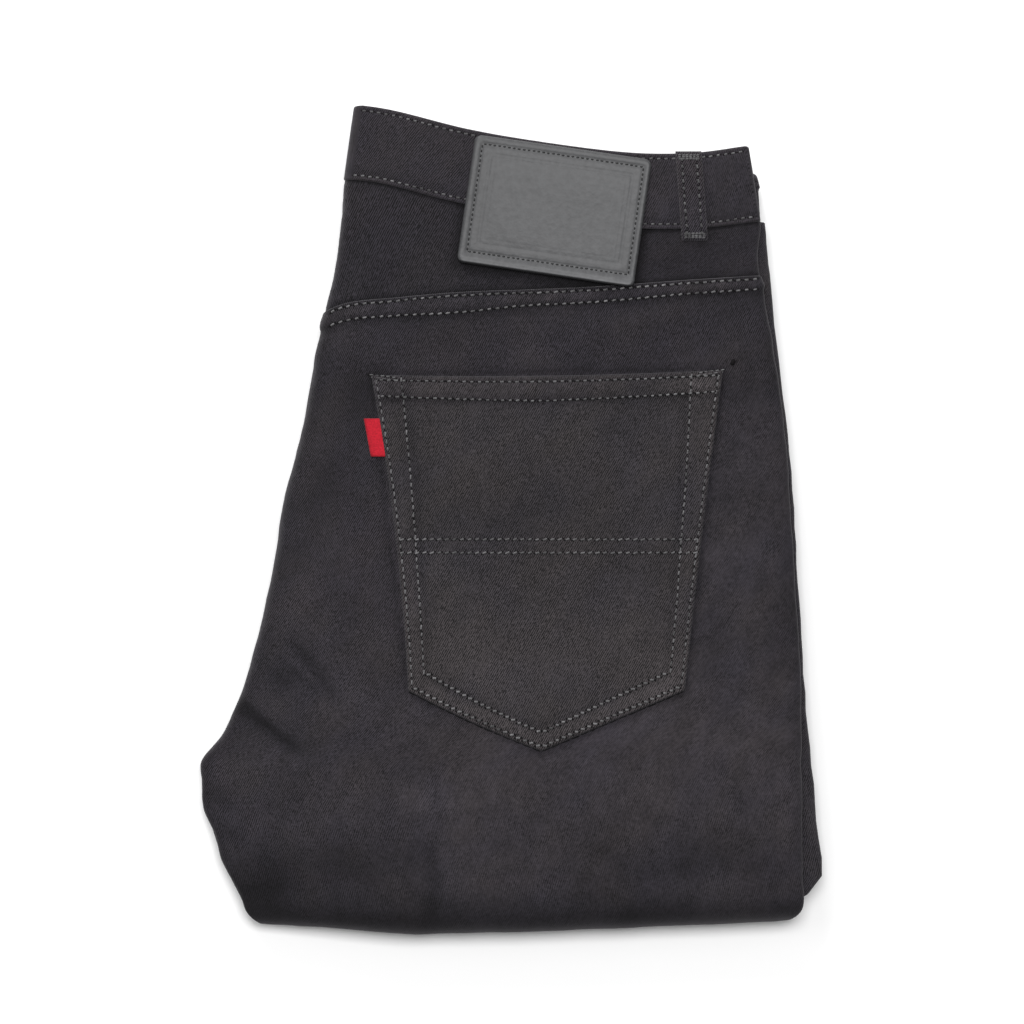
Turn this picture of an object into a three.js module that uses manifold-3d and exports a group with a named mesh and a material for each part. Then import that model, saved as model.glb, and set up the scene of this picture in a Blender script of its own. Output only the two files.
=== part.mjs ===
// Straight leg jeans, folded in half with the back outside, then in three along the legs.
// They lie flat with the right back pocket up. Millimetres, +Z up, +Y towards the waistband.
// The legs run from the waistband over the bottom fold, back under the seat to the back fold,
// and forward again between the two, so six flattened legs lie on each other.
import * as THREE from 'three';
import { mergeVertices } from 'three/addons/utils/BufferGeometryUtils.js';
import Module from 'manifold-3d';

// Driving sizes
const CLOTH = 1.4;              // denim wall, one layer
const SEAM_GAP = 0.3;           // clearance between neighbouring pieces
const WAIST_GAP = 0.6;          // the same under the waistband, whose edge is rounded
const REST_GAP = 0.4;           // clearance of a piece that lies on a curved panel
const LEG_SLAB = 4.4;           // one leg pressed flat, two layers of cloth and air
const FUSE = 0.4;               // how far hidden layers sink into each other
const LAP_RAISE = 1.0;          // the seat laps over the yoke by one more layer
const LAP_WIDTH = 8;            // width of that lap
const LAP_STEP = 1.2;           // the step down from it
const BAND_PLY = 2;             // waistband, doubled cloth
const BAND_RISE = 0.9;          // waistband stands above the yoke
const BAND_EDGE = 0.68;         // its thickness at the rounded long edges, as a share
const FLY_SETBACK = 2.3;        // the fly ends lie this far inside the centre back fold
const POCKET_CLOTH = 1.3;
const POCKET_HEM = 12.5;        // depth of the pocket's top hem
const POCKET_EDGE = 0.75;       // thickness at the pocket's outer edges, as a share
const HEM_RAISE = 0.9;          // the hem is thicker than the pocket
const PATCH_THICK = 1.9;
const TAB_THICK = 0.7;
const LOOP_WIDTH = 12.5;        // belt loop
const LOOP_THICK = 1.6;
const BACK_FOLD_Y = 160;        // where the legs turn up under the waistband
const HEM_Y = -172;             // where the leg ends lie inside the bottom fold

const SIX_LEGS = 6 * LEG_SLAB;
const FOUR_LEGS = 4 * LEG_SLAB;
const TWO_LEGS = 2 * LEG_SLAB;

// Outline of the seat and thigh that lie on top: left edge, right edge, from waist to fold
const TOP_OUTLINE = [
  { y: -202, left: -123, right: 133.5 },
  { y: -195, left: -130, right: 141 },
  { y: -187, left: -133.2, right: 142.6 },
  { y: -176, left: -137.6, right: 142.2 },
  { y: -156, left: -145, right: 142 },
  { y: -137, left: -151.6, right: 141.8 },
  { y: -122, left: -152, right: 141.6 },
  { y: -113, left: -147.6, right: 141.4 },
  { y: -98, left: -137.4, right: 141.4 },
  { y: -69, left: -126.6, right: 141 },
  { y: -30, left: -117.4, right: 138.2 },
  { y: 9, left: -110.6, right: 136 },
  { y: 47, left: -101, right: 132.6 },
  { y: 86, left: -94, right: 127.2 },
  { y: 105, left: -89.2, right: 123.8 },
  { y: 125, left: -84.6, right: 120.4 },
  { y: 144, left: -82.6, right: 121.6 },
  { y: 166, left: -80.8, right: 118 },
];
// The other leg, under it
const UNDER_OUTLINE = [
  { y: -202, left: -116, right: 122 },
  { y: -193, left: -125, right: 134 },
  { y: -184, left: -129.5, right: 146 },
  { y: -174, left: -134, right: 151.2 },
  { y: -165, left: -138.5, right: 152 },
  { y: -137, left: -147.6, right: 148.6 },
  { y: -122, left: -149, right: 147 },
  { y: -98, left: -136.6, right: 144.6 },
  { y: -69, left: -126.4, right: 142.6 },
  { y: -30, left: -117.2, right: 140 },
  { y: 9, left: -110.4, right: 137.8 },
  { y: 47, left: -100.8, right: 134.6 },
  { y: 86, left: -93.8, right: 129.6 },
  { y: 125, left: -84.4, right: 125.8 },
  { y: 166, left: -80.6, right: 121 },
];
// Knee stretch of both legs, on the floor under the seat
const FLOOR_OUTLINE = [
  { y: -202, left: -121, right: 131 },
  { y: -187, left: -129, right: 142 },
  { y: -120, left: -116, right: 143 },
  { y: 0, left: -90, right: 134.5 },
  { y: 100, left: -80, right: 126 },
  { y: 172, left: -77.5, right: 121 },
];
// Leg ends, between the floor stretch and the seat
const HEM_OUTLINE = [
  { y: -180, left: -72, right: 133 },
  { y: -60, left: -74, right: 131 },
  { y: 80, left: -76, right: 125 },
  { y: 172, left: -77.5, right: 120.5 },
];
// Lowest edge of the bottom fold across the width
const BOTTOM_EDGE = [
  { x: -130, y: -199 },
  { x: -92, y: -200.8 },
  { x: -44, y: -203.8 },
  { x: 0, y: -203 },
  { x: 72, y: -200.2 },
  { x: 142, y: -197 },
];
// Upper edge of the seat panel, along the yoke seam
const YOKE_SEAM = [
  { x: -96, y: 98 },
  { x: -80, y: 104.5 },
  { x: -60, y: 107 },
  { x: -34, y: 107.2 },
  { x: 5, y: 110.2 },
  { x: 43, y: 112.6 },
  { x: 77, y: 115 },
  { x: 126, y: 117.6 },
];
// Waistband, from the centre back fold at the left to the side at the right
const WAISTBAND = [
  { part: 0, topX: -76, topY: 200.9, bottomX: -80.8, bottomY: 164.6 },
  { part: 0.1, topX: -57.5, topY: 198, bottomX: -62.5, bottomY: 162.4 },
  { part: 0.3, topX: -19, topY: 188.4, bottomX: -24.5, bottomY: 152.8 },
  { part: 0.5, topX: 21, topY: 181.6, bottomX: 18, bottomY: 145.4 },
  { part: 0.7, topX: 61, topY: 177, bottomX: 61.5, bottomY: 140.6 },
  { part: 0.85, topX: 90, topY: 177.2, bottomX: 93, bottomY: 140.8 },
  { part: 1, topX: 115.5, topY: 180.6, bottomX: 121.4, bottomY: 144.2 },
];
const BAND_WIDTH = WAISTBAND[WAISTBAND.length - 1].bottomX - WAISTBAND[0].bottomX;
// Soft troughs where the thigh leaves the seat: from, to, width and depth
const CREASES = [
  { fromX: -134, fromY: -86, toX: -101, toY: -121, width: 13, depth: 1.8 },
  { fromX: -112, fromY: -62, toX: -86, toY: -92, width: 12, depth: 1.2 },
  { fromX: -40, fromY: -160, toX: -36, toY: -196, width: 10, depth: 1 },
];
// Right back pocket: corners, and the tip at its foot
const POCKET = {
  topLeft: [-67.5, 69.2],
  topRight: [103, 71.6],
  footLeft: [-49.5, -84],
  footRight: [84.5, -83.8],
  tip: [15, -113.2],
  hollowLeft: 2.6,
  hollowRight: 0.4,
};
const PATCH = { centreX: 20.2, centreY: 150.4, width: 84, height: 60, tilt: -8.3 };
const TAB = { left: -71, right: -62, top: 48, bottom: 29.8, lean: 3.4 };
const BELT_LOOP_PART = 0.83;

// The value of a smooth curve through a table's rows
function follow(table, key, column, at) {
  const last = table.length - 1;
  if (at <= table[0][key]) return table[0][column];
  if (at >= table[last][key]) return table[last][column];
  let row = 0;
  while (table[row + 1][key] < at) row += 1;
  const slope = (index) => {
    const before = table[Math.max(index - 1, 0)];
    const after = table[Math.min(index + 1, last)];
    return (after[column] - before[column]) / (after[key] - before[key]);
  };
  const start = table[row];
  const end = table[row + 1];
  const span = end[key] - start[key];
  const t = (at - start[key]) / span;
  const startSlope = slope(row) * span;
  const endSlope = slope(row + 1) * span;
  return (2 * t ** 3 - 3 * t ** 2 + 1) * start[column]
    + (t ** 3 - 2 * t ** 2 + t) * startSlope
    + (3 * t ** 2 - 2 * t ** 3) * end[column]
    + (t ** 3 - t ** 2) * endSlope;
}

const lerp = THREE.MathUtils.lerp;
// From 0 at the first value to 1 at the second, with soft ends
function blend(from, to, value) {
  const part = THREE.MathUtils.clamp((value - from) / (to - from), 0, 1);
  return part * part * (3 - 2 * part);
}

// How deep the creases are at a place
function creaseDepth(x, y) {
  let depth = 0;
  for (const crease of CREASES) {
    const alongX = crease.toX - crease.fromX;
    const alongY = crease.toY - crease.fromY;
    const length = Math.hypot(alongX, alongY);
    const along = ((x - crease.fromX) * alongX + (y - crease.fromY) * alongY) / length;
    const across = ((x - crease.fromX) * alongY - (y - crease.fromY) * alongX) / length;
    const ends = blend(-8, 10, along) * (1 - blend(length - 10, length + 8, along));
    depth += crease.depth * ends * Math.exp(-((across / crease.width) ** 2));
  }
  return depth;
}

// Height of the top of the seat: six legs thick, lower where fewer legs lie under it
function topHeight(x, y) {
  const floorLeft = follow(FLOOR_OUTLINE, 'y', 'left', y);
  const hemLeft = follow(HEM_OUTLINE, 'y', 'left', y);
  const hemRight = follow(HEM_OUTLINE, 'y', 'right', y);
  const onFloorLegs = blend(floorLeft - 60, floorLeft + 10, x);
  const onHemLegs = blend(hemLeft - 75, hemLeft + 5, x);
  const rightDrop = 1.6 * blend(hemRight - 12, hemRight + 16, x);
  const bottomDrop = 2.6 * blend(-150, -206, y);
  const waistDrop = 3.2 * blend(158, 208, y);
  const height = TWO_LEGS * (1 + onFloorLegs + onHemLegs);
  return height - rightDrop - bottomDrop - waistDrop - creaseDepth(x, y);
}

// Stations along the roll of the legs. Each places a point from x and its depth in the roll:
// depth 0 is the outer face of the right leg, which is outside all the way round. Its room is
// the depth down to which both legs fill the roll there.
const foldCentreY = (x) => follow(BOTTOM_EDGE, 'x', 'y', x) + SIX_LEGS / 2;
const waistY = (x) => {
  let part = 0.5;
  for (let pass = 0; pass < 6; pass += 1) {
    const here = follow(WAISTBAND, 'part', 'bottomX', part);
    part = THREE.MathUtils.clamp(part + (x - here) / BAND_WIDTH, 0, 1);
  }
  return follow(WAISTBAND, 'part', 'bottomY', part);
};
const seamY = (x) => follow(YOKE_SEAM, 'x', 'y', x);

function topStation(rowY) {
  return {
    outline: 'top',
    room: TWO_LEGS,
    rowY,
    place: (x, depth) => [x, rowY(x), topHeight(x, rowY(x)) - depth],
  };
}

function bottomFoldStation(angle) {
  const up = Math.sin(angle);
  const out = Math.cos(angle);
  const rowY = (x) => foldCentreY(x) - (SIX_LEGS / 2) * out;
  return {
    outline: 'bottomFold',
    room: TWO_LEGS,
    share: (1 - up) / 2,
    rowY,
    place: (x, depth) => {
      const centreY = foldCentreY(x);
      const half = topHeight(x, centreY) / 2;
      const squeezed = depth * (half / (SIX_LEGS / 2));
      return [x, centreY - (SIX_LEGS / 2 - depth) * out, half + (half - squeezed) * up];
    },
  };
}

function floorStation(y) {
  return { outline: 'floor', room: TWO_LEGS + FUSE / 2, rowY: () => y, place: (x, depth) => [x, y, depth] };
}

function backFoldStation(angle) {
  const up = Math.sin(angle);
  const out = Math.cos(angle);
  return {
    outline: 'floor',
    room: TWO_LEGS - FUSE,
    rowY: () => BACK_FOLD_Y + TWO_LEGS * out,
    place: (x, depth) => [x, BACK_FOLD_Y + (TWO_LEGS - depth) * out, TWO_LEGS + (TWO_LEGS - depth) * up],
  };
}

function hemStation(y) {
  const place = (x, depth) => [x, y, FOUR_LEGS - depth];
  return { outline: 'hem', room: TWO_LEGS + FUSE / 2, rowY: () => y, place };
}

// Left or right edge of a leg at a station
function edgeAt(station, leg, side) {
  const upper = leg === 'under' ? UNDER_OUTLINE : TOP_OUTLINE;
  let x = side === 'left' ? -110 : 130;
  for (let pass = 0; pass < 6; pass += 1) {
    const y = station.rowY(x);
    if (station.outline === 'top') x = follow(upper, 'y', side, y);
    if (station.outline === 'floor') x = follow(FLOOR_OUTLINE, 'y', side, y);
    if (station.outline === 'hem') x = follow(HEM_OUTLINE, 'y', side, y);
    if (station.outline === 'bottomFold') {
      x = lerp(follow(upper, 'y', side, y), follow(FLOOR_OUTLINE, 'y', side, y), station.share);
    }
  }
  return x;
}

// In the seat both legs are one: the cloth rolls round the centre back, over both of them
const seatShare = (station, x) => (station.outline === 'top' ? blend(-132, -104, station.rowY(x)) : 0);

const FLAT_COLUMNS = 13;
const YOKE_ROWS = [0, 0.25, 0.5, 0.75, 1];

// A row of points from the left edge to the right edge. Each edge is a list of
// { out, down }: distance from the leg's edge and depth in the roll.
function rowOfPoints(station, left, right, leftEdge, rightEdge, extraDepth) {
  const row = leftEdge.map(({ out, down }) => [left + out, down]);
  const from = leftEdge[leftEdge.length - 1];
  const to = rightEdge[0];
  for (let column = 1; column < FLAT_COLUMNS; column += 1) {
    const part = column / FLAT_COLUMNS;
    const x = lerp(left + from.out, right - to.out, part);
    row.push([x, lerp(from.down, to.down, part)]);
  }
  rightEdge.forEach(({ out, down }) => row.push([right - out, down]));
  return row.map(([x, down]) => station.place(x, down + extraDepth));
}

// A quarter round from the side up to the flat, or back
function rolledEdge(radius, inset, steps) {
  const edge = [];
  for (let step = 0; step <= steps; step += 1) {
    const angle = (Math.PI / 2) * (step / steps);
    edge.push({
      out: radius - (radius - inset) * Math.cos(angle),
      down: radius - (radius - inset) * Math.sin(angle),
    });
  }
  return edge;
}

const mix = (first, second, share) => first.map((point, index) => ({
  out: lerp(point.out, second[index].out, share),
  down: lerp(point.down, second[index].down, share),
}));

// One wall of cloth: outer points and the same points moved in by its thickness
function wallRows(station, raise) {
  const left = edgeAt(station, 'top', 'left');
  const right = edgeAt(station, 'top', 'right');
  const leftRoll = lerp(LEG_SLAB / 2, LEG_SLAB, seatShare(station, left));
  const rightRoll = LEG_SLAB / 2;
  const outside = rowOfPoints(station, left, right,
    rolledEdge(leftRoll, 0, 4), rolledEdge(rightRoll, 0, 3).reverse(), -raise);
  const inside = rowOfPoints(station, left, right,
    rolledEdge(leftRoll, CLOTH, 4), rolledEdge(rightRoll, CLOTH, 3).reverse(), 0);
  return { outside, inside };
}

// A closed solid between two matching grids of points
function solidBetween(outsideRows, insideRows, loop = false) {
  const rows = outsideRows.length;
  const columns = outsideRows[0].length;
  const positions = [...outsideRows.flat(), ...insideRows.flat()].flat();
  const outer = (row, column) => row * columns + (column % columns);
  const inner = (row, column) => rows * columns + row * columns + (column % columns);
  const faces = [];
  const quad = (a, b, c, d) => faces.push(a, b, c, a, c, d);
  const lastColumn = loop ? columns : columns - 1;
  for (let row = 0; row < rows - 1; row += 1) {
    for (let column = 0; column < lastColumn; column += 1) {
      quad(outer(row, column), outer(row + 1, column), outer(row + 1, column + 1), outer(row, column + 1));
      quad(inner(row, column), inner(row, column + 1), inner(row + 1, column + 1), inner(row + 1, column));
    }
    if (!loop) {
      quad(outer(row, 0), inner(row, 0), inner(row + 1, 0), outer(row + 1, 0));
      const end = columns - 1;
      quad(outer(row, end), outer(row + 1, end), inner(row + 1, end), inner(row, end));
    }
  }
  for (let column = 0; column < lastColumn; column += 1) {
    const top = rows - 1;
    quad(outer(0, column), outer(0, column + 1), inner(0, column + 1), inner(0, column));
    quad(outer(top, column), inner(top, column), inner(top, column + 1), outer(top, column + 1));
  }
  return facingOut(positions, faces);
}

// Turns a closed solid's faces outward, by its volume
function facingOut(positions, faces) {
  const corner = (index) => new THREE.Vector3().fromArray(positions, index * 3);
  let volume = 0;
  for (let face = 0; face < faces.length; face += 3) {
    const [a, b, c] = [corner(faces[face]), corner(faces[face + 1]), corner(faces[face + 2])];
    volume += a.dot(b.cross(c));
  }
  if (volume < 0) {
    for (let face = 0; face < faces.length; face += 3) {
      [faces[face + 1], faces[face + 2]] = [faces[face + 2], faces[face + 1]];
    }
  }
  const geometry = new THREE.BufferGeometry();
  geometry.setAttribute('position', new THREE.Float32BufferAttribute(positions, 3));
  geometry.setIndex(faces);
  return geometry;
}

// Stations from the lap of the yoke seam round to the end of the back fold
function legStations() {
  const radians = THREE.MathUtils.degToRad;
  const seat = [0, 0.07, 0.18, 0.3, 0.42, 0.53, 0.62, 0.69, 0.74, 0.79, 0.84, 0.9, 0.96];
  return [
    ...seat.map((part) => topStation((x) => lerp(seamY(x) - LAP_WIDTH, foldCentreY(x), part))),
    ...[90, 68, 46, 24, 0, -24, -46, -68, -90].map((degrees) => bottomFoldStation(radians(degrees))),
    ...[-150, -90, 0, 80, BACK_FOLD_Y].map((y) => floorStation(y)),
    ...[-65, -40, -15, 10, 35, 58].map((degrees) => backFoldStation(radians(degrees))),
  ];
}

// Right back leg: from the yoke seam over the bottom fold, along the floor, up the back fold
function backLegGeometry() {
  const lap = [0, LAP_WIDTH - LAP_STEP].map((below) => wallRows(topStation((x) => seamY(x) - below), LAP_RAISE));
  const rows = [...lap, ...legStations().map((station) => wallRows(station, 0))];
  return solidBetween(rows.map((row) => row.outside), rows.map((row) => row.inside));
}

// Right back yoke: between the waistband and the seat
function yokeGeometry() {
  const rows = YOKE_ROWS.map((part) => wallRows(topStation((x) => (
    lerp(waistY(x) - WAIST_GAP, seamY(x) + SEAM_GAP, part))), 0));
  return solidBetween(rows.map((row) => row.outside), rows.map((row) => row.inside));
}

// Edges of the hidden layers, in the seat and in a single leg: upper and lower corner
const INNER = CLOTH + SEAM_GAP;
const RIGHT_LEG_EDGE = {
  leg: {
    upper: [{ out: 0.1, down: 2.9 }, { out: 1.9, down: 2.8 }, { out: 2.9, down: INNER }],
    lower: [{ out: 0.3, down: 3.5 }, { out: 1, down: 4.3 }, { out: 2.9, down: LEG_SLAB + FUSE }],
  },
  seat: {
    upper: [{ out: 2, down: 4.2 }, { out: 2.7, down: 2.9 }, { out: 4.7, down: INNER }],
    lower: [
      { out: 2.1, down: 4.6 },
      { out: 2.9, down: LEG_SLAB + FUSE },
      { out: 4.7, down: LEG_SLAB + FUSE },
    ],
  },
  bare: {
    upper: [{ out: 0, down: 1.9 }, { out: 0.6, down: 0.6 }, { out: 2.8, down: -FUSE }],
    lower: [{ out: 0, down: 2.7 }, { out: 0.6, down: 4 }, { out: 2.8, down: LEG_SLAB + FUSE }],
  },
};
const LEFT_LEG_EDGE = {
  leg: {
    upper: [{ out: 0, down: 6.2 }, { out: 0.7, down: 5 }, { out: 2.8, down: LEG_SLAB - FUSE }],
    lower: [{ out: 0, down: 7 }, { out: 0.7, down: 8.3 }, { out: 2.8, down: TWO_LEGS + FUSE }],
  },
  seat: {
    upper: [{ out: 0.1, down: 4.8 }, { out: 1.6, down: 4.75 }, { out: 4.6, down: LEG_SLAB - FUSE }],
    lower: [{ out: 0.6, down: 6.8 }, { out: 2, down: 8.3 }, { out: 4.6, down: TWO_LEGS + FUSE }],
  },
};

// A flattened leg swept along the roll
function legSlab(stations, leg, edges) {
  const outsideRows = [];
  const insideRows = [];
  for (const { station, bare, sink = 1 } of stations) {
    const left = edgeAt(station, leg, 'left');
    const right = edgeAt(station, leg, 'right');
    const seat = seatShare(station, left);
    const legEdge = bare ? edges.bare : edges.leg;
    const leftUpper = mix(legEdge.upper, edges.seat.upper, seat);
    const leftLower = mix(legEdge.lower, edges.seat.lower, seat);
    const fill = (edge) => edge.map(({ out, down }) => ({ out, down: Math.min(down, station.room) }));
    const surface = (edge) => edge.map(({ out, down }) => ({ out, down: down < 0 ? down * sink : down }));
    outsideRows.push(rowOfPoints(station, left, right,
      surface(leftUpper), surface([...legEdge.upper].reverse()), 0));
    insideRows.push(rowOfPoints(station, left, right,
      fill(leftLower), fill([...legEdge.lower].reverse()), 0));
  }
  return solidBetween(outsideRows, insideRows);
}

// From under the waistband to the end of the back fold
function rollStations() {
  const yoke = YOKE_ROWS.map((part) => topStation((x) => (
    lerp(waistY(x) - WAIST_GAP, seamY(x) + SEAM_GAP, part))));
  return [...yoke, ...legStations()].map((station) => ({ station }));
}

// From the back fold to the hems. They sink into the layer above only south of the waistband.
function hemStations(bare) {
  return [
    { y: BACK_FOLD_Y, sink: 0 },
    { y: 134, sink: 0 },
    { y: 126, sink: 1 },
    { y: 20, sink: 1 },
    { y: -80, sink: 1 },
    { y: HEM_Y, sink: 1 },
  ].map(({ y, sink }) => ({ station: hemStation(y), bare, sink }));
}

const wasm = await Module();
wasm.setup();

function toManifold(geometry) {
  const bare = geometry.clone();
  bare.deleteAttribute('normal');
  bare.deleteAttribute('uv');
  const merged = mergeVertices(bare, 1e-4);
  return new wasm.Manifold(new wasm.Mesh({
    numProp: 3,
    vertProperties: new Float32Array(merged.getAttribute('position').array),
    triVerts: new Uint32Array(merged.getIndex().array),
  }));
}

function fromManifold(solid) {
  const mesh = solid.getMesh();
  const geometry = new THREE.BufferGeometry();
  geometry.setAttribute('position', new THREE.BufferAttribute(Float32Array.from(mesh.vertProperties), 3));
  geometry.setIndex(Array.from(mesh.triVerts));
  return geometry;
}

// The hidden layers: the rest of the right leg, and the left leg rolled up inside it
function foldedLayersGeometry() {
  const turn = { station: backFoldStation(THREE.MathUtils.degToRad(66)), bare: true, sink: 0 };
  const reach = { station: hemStation(BACK_FOLD_Y + 2), sink: 0 };
  const rightLeg = legSlab([...rollStations(), turn, ...hemStations(true)], 'top', RIGHT_LEG_EDGE);
  const leftLeg = legSlab(rollStations(), 'under', LEFT_LEG_EDGE);
  const leftHem = legSlab([reach, ...hemStations(false)], 'under', LEFT_LEG_EDGE);
  const joined = toManifold(rightLeg).add(toManifold(leftLeg)).add(toManifold(leftHem));
  const pieces = joined.decompose();
  pieces.sort((first, second) => second.volume() - first.volume());
  return fromManifold(pieces[0]);
}

// Waistband: one closed loop of doubled cloth, pressed into four layers
function waistbandPoint(part, beyond, up, depth) {
  const column = (name) => follow(WAISTBAND, 'part', name, part);
  const x = lerp(column('bottomX'), column('topX'), up) + beyond;
  const y = lerp(column('bottomY'), column('topY'), up);
  return [x, y, topHeight(x, y) + BAND_RISE - depth];
}

function waistbandLoop() {
  const half = BAND_PLY / 2;
  const pitch = BAND_PLY + REST_GAP;
  const layer = [0, 1, 2, 3].map((index) => half + index * pitch);
  const path = [];
  const straight = (depth, from, to, steps) => {
    for (let step = 0; step <= steps; step += 1) {
      const part = lerp(from, to, step / steps);
      path.push({ part, beyond: 0, depth, turnX: 0, turnZ: from < to ? 1 : -1 });
    }
  };
  const fold = (part, firstDepth, lastDepth, side, inward, steps) => {
    const radius = Math.abs(lastDepth - firstDepth) / 2;
    const middle = (firstDepth + lastDepth) / 2;
    const down = Math.sign(lastDepth - firstDepth);
    for (let step = 1; step < steps; step += 1) {
      const angle = Math.PI * (step / steps);
      path.push({
        part,
        beyond: side * radius * Math.sin(angle),
        depth: middle - down * radius * Math.cos(angle),
        turnX: side * Math.sin(angle) * inward,
        turnZ: down * Math.cos(angle) * inward,
      });
    }
  };
  const leftOuter = (layer[3] - layer[0]) / 2 + half;
  const leftInner = leftOuter + FLY_SETBACK;
  const rightInset = pitch / 2 + half;
  const start = leftOuter / BAND_WIDTH;
  const innerStart = leftInner / BAND_WIDTH;
  const end = 1 - rightInset / BAND_WIDTH;
  straight(layer[0], start, end, 12);
  fold(end, layer[0], layer[1], 1, 1, 4);
  straight(layer[1], end, innerStart, 8);
  fold(innerStart, layer[1], layer[2], -1, -1, 4);
  straight(layer[2], innerStart, end, 8);
  fold(end, layer[2], layer[3], 1, 1, 4);
  straight(layer[3], end, start, 8);
  fold(start, layer[3], layer[0], -1, 1, 6);
  return path;
}

function waistbandGeometry() {
  const path = waistbandLoop();
  const rowsUp = [
    { up: 0, half: (BAND_PLY / 2) * BAND_EDGE },
    { up: 0.045, half: BAND_PLY / 2 },
    { up: 0.5, half: BAND_PLY / 2 },
    { up: 0.955, half: BAND_PLY / 2 },
    { up: 1, half: (BAND_PLY / 2) * BAND_EDGE },
  ];
  const side = (sign) => rowsUp.map(({ up, half }) => path.map((at) => waistbandPoint(
    at.part,
    at.beyond + sign * half * at.turnX,
    up,
    at.depth - sign * half * at.turnZ,
  )));
  return solidBetween(side(1), side(-1), true);
}

// Height of the outer face at a place: waistband, yoke, lap or seat
function faceHeight(x, y) {
  const lap = seamY(x) - y;
  const raise = lap > 0 ? LAP_RAISE * (1 - blend(LAP_WIDTH - LAP_STEP, LAP_WIDTH, lap)) : 0;
  return topHeight(x, y) + raise;
}

// Place on the pocket: across from 0 to 1, down from 0 to 1
function pocketPlace(across, down) {
  const hollow = 4 * down * (1 - down);
  const corner = (from, to, part) => [lerp(from[0], to[0], part), lerp(from[1], to[1], part)];
  const top = corner(POCKET.topLeft, POCKET.topRight, across);
  const share = (POCKET.tip[0] - POCKET.footLeft[0]) / (POCKET.footRight[0] - POCKET.footLeft[0]);
  const foot = across < share
    ? corner(POCKET.footLeft, POCKET.tip, across / share)
    : corner(POCKET.tip, POCKET.footRight, (across - share) / (1 - share));
  const [x, y] = corner(top, foot, down);
  return [x + hollow * lerp(POCKET.hollowLeft, -POCKET.hollowRight, across), y];
}

function pocketGeometry() {
  const hem = POCKET_HEM / (POCKET.topLeft[1] - POCKET.footLeft[1]);
  const downs = [0, hem * 0.92, hem, 0.2, 0.32, 0.45, 0.58, 0.7, 0.8, 0.9, 1];
  const acrosses = [0, 0.03, 0.14, 0.26, 0.37, 0.4813, 0.59, 0.7, 0.82, 0.97, 1];
  const rows = (lift) => downs.map((down) => acrosses.map((across) => {
    const [x, y] = pocketPlace(across, down);
    const hemLift = down < hem * 0.95 ? HEM_RAISE : 0;
    const edge = across === 0 || across === 1 || down === 1 ? POCKET_EDGE : 1;
    const above = lift ? (POCKET_CLOTH + hemLift) * edge : 0;
    return [x, y, faceHeight(x, y) + REST_GAP + above];
  }));
  return solidBetween(rows(true), rows(false));
}

// Patch: stiff, over the waistband and the top of the yoke
function patchGeometry() {
  const angle = THREE.MathUtils.degToRad(PATCH.tilt);
  const columns = [-0.5, -0.47, -0.25, 0, 0.25, 0.47, 0.5];
  const rowsDown = [-0.5, -0.46, -0.2, 0.05, 0.25, 0.46, 0.5];
  const rows = (lift) => rowsDown.map((v) => columns.map((u) => {
    const alongX = u * PATCH.width;
    const alongY = -v * PATCH.height;
    const rounded = Math.abs(u) === 0.5 && Math.abs(v) === 0.5 ? 0.975 : 1;
    const x = PATCH.centreX + rounded * (alongX * Math.cos(angle) - alongY * Math.sin(angle));
    const y = PATCH.centreY + rounded * (alongX * Math.sin(angle) + alongY * Math.cos(angle));
    const edge = Math.abs(u) === 0.5 || Math.abs(v) === 0.5 ? 0.7 : 1;
    const under = topHeight(x, y) + BAND_RISE + REST_GAP;
    return [x, y, under + (lift ? PATCH_THICK * edge : 0)];
  }));
  return solidBetween(rows(true), rows(false));
}

// Tab: a folded ribbon caught in the pocket's side seam. It lies on the seat beside the pocket.
function tabGeometry() {
  const rowsDown = [0, 0.33, 0.67, 1];
  const columns = [0, 0.5, 1];
  const rows = (lift) => rowsDown.map((v) => columns.map((u) => {
    const y = lerp(TAB.top, TAB.bottom, v);
    const lean = TAB.lean * v;
    const seam = pocketEdgeX(y) - SEAM_GAP;
    const x = lerp(TAB.left + lean, Math.min(TAB.right + lean, seam), u);
    return [x, y, faceHeight(x, y) + REST_GAP + (lift ? TAB_THICK : 0)];
  }));
  return solidBetween(rows(true), rows(false));
}

// Where the pocket's left edge is at a height on the seat
function pocketEdgeX(y) {
  let down = 0.2;
  for (let pass = 0; pass < 6; pass += 1) {
    const here = pocketPlace(0, down)[1];
    down += (here - y) / (POCKET.topLeft[1] - POCKET.footLeft[1]);
  }
  return pocketPlace(0, down)[0];
}

// Belt loop: a strip over the waistband, lying on the yoke below it
function beltLoopGeometry() {
  const rowsDown = [
    { up: 1.02, lift: 0.2 },
    { up: 0.9, lift: 0.5 },
    { up: 0.5, lift: 0.8 },
    { up: 0.1, lift: 0.5 },
    { up: -0.03, lift: 0.2 },
    { up: -0.17, lift: 0.2 },
  ];
  const rows = (above) => rowsDown.map(({ up, lift }) => [-0.5, -0.3, 0, 0.3, 0.5].map((across) => {
    const [x, y] = waistbandPoint(BELT_LOOP_PART, 0, up, 0);
    const edge = Math.abs(across) === 0.5 ? 0.8 : 1;
    const px = x + across * LOOP_WIDTH;
    const rise = lerp(0, BAND_RISE, blend(-0.16, -0.02, up));
    const under = topHeight(px, y) + rise + REST_GAP + lift;
    return [px, y, under + (above ? LOOP_THICK * edge : 0)];
  }));
  return solidBetween(rows(true), rows(false));
}

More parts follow.
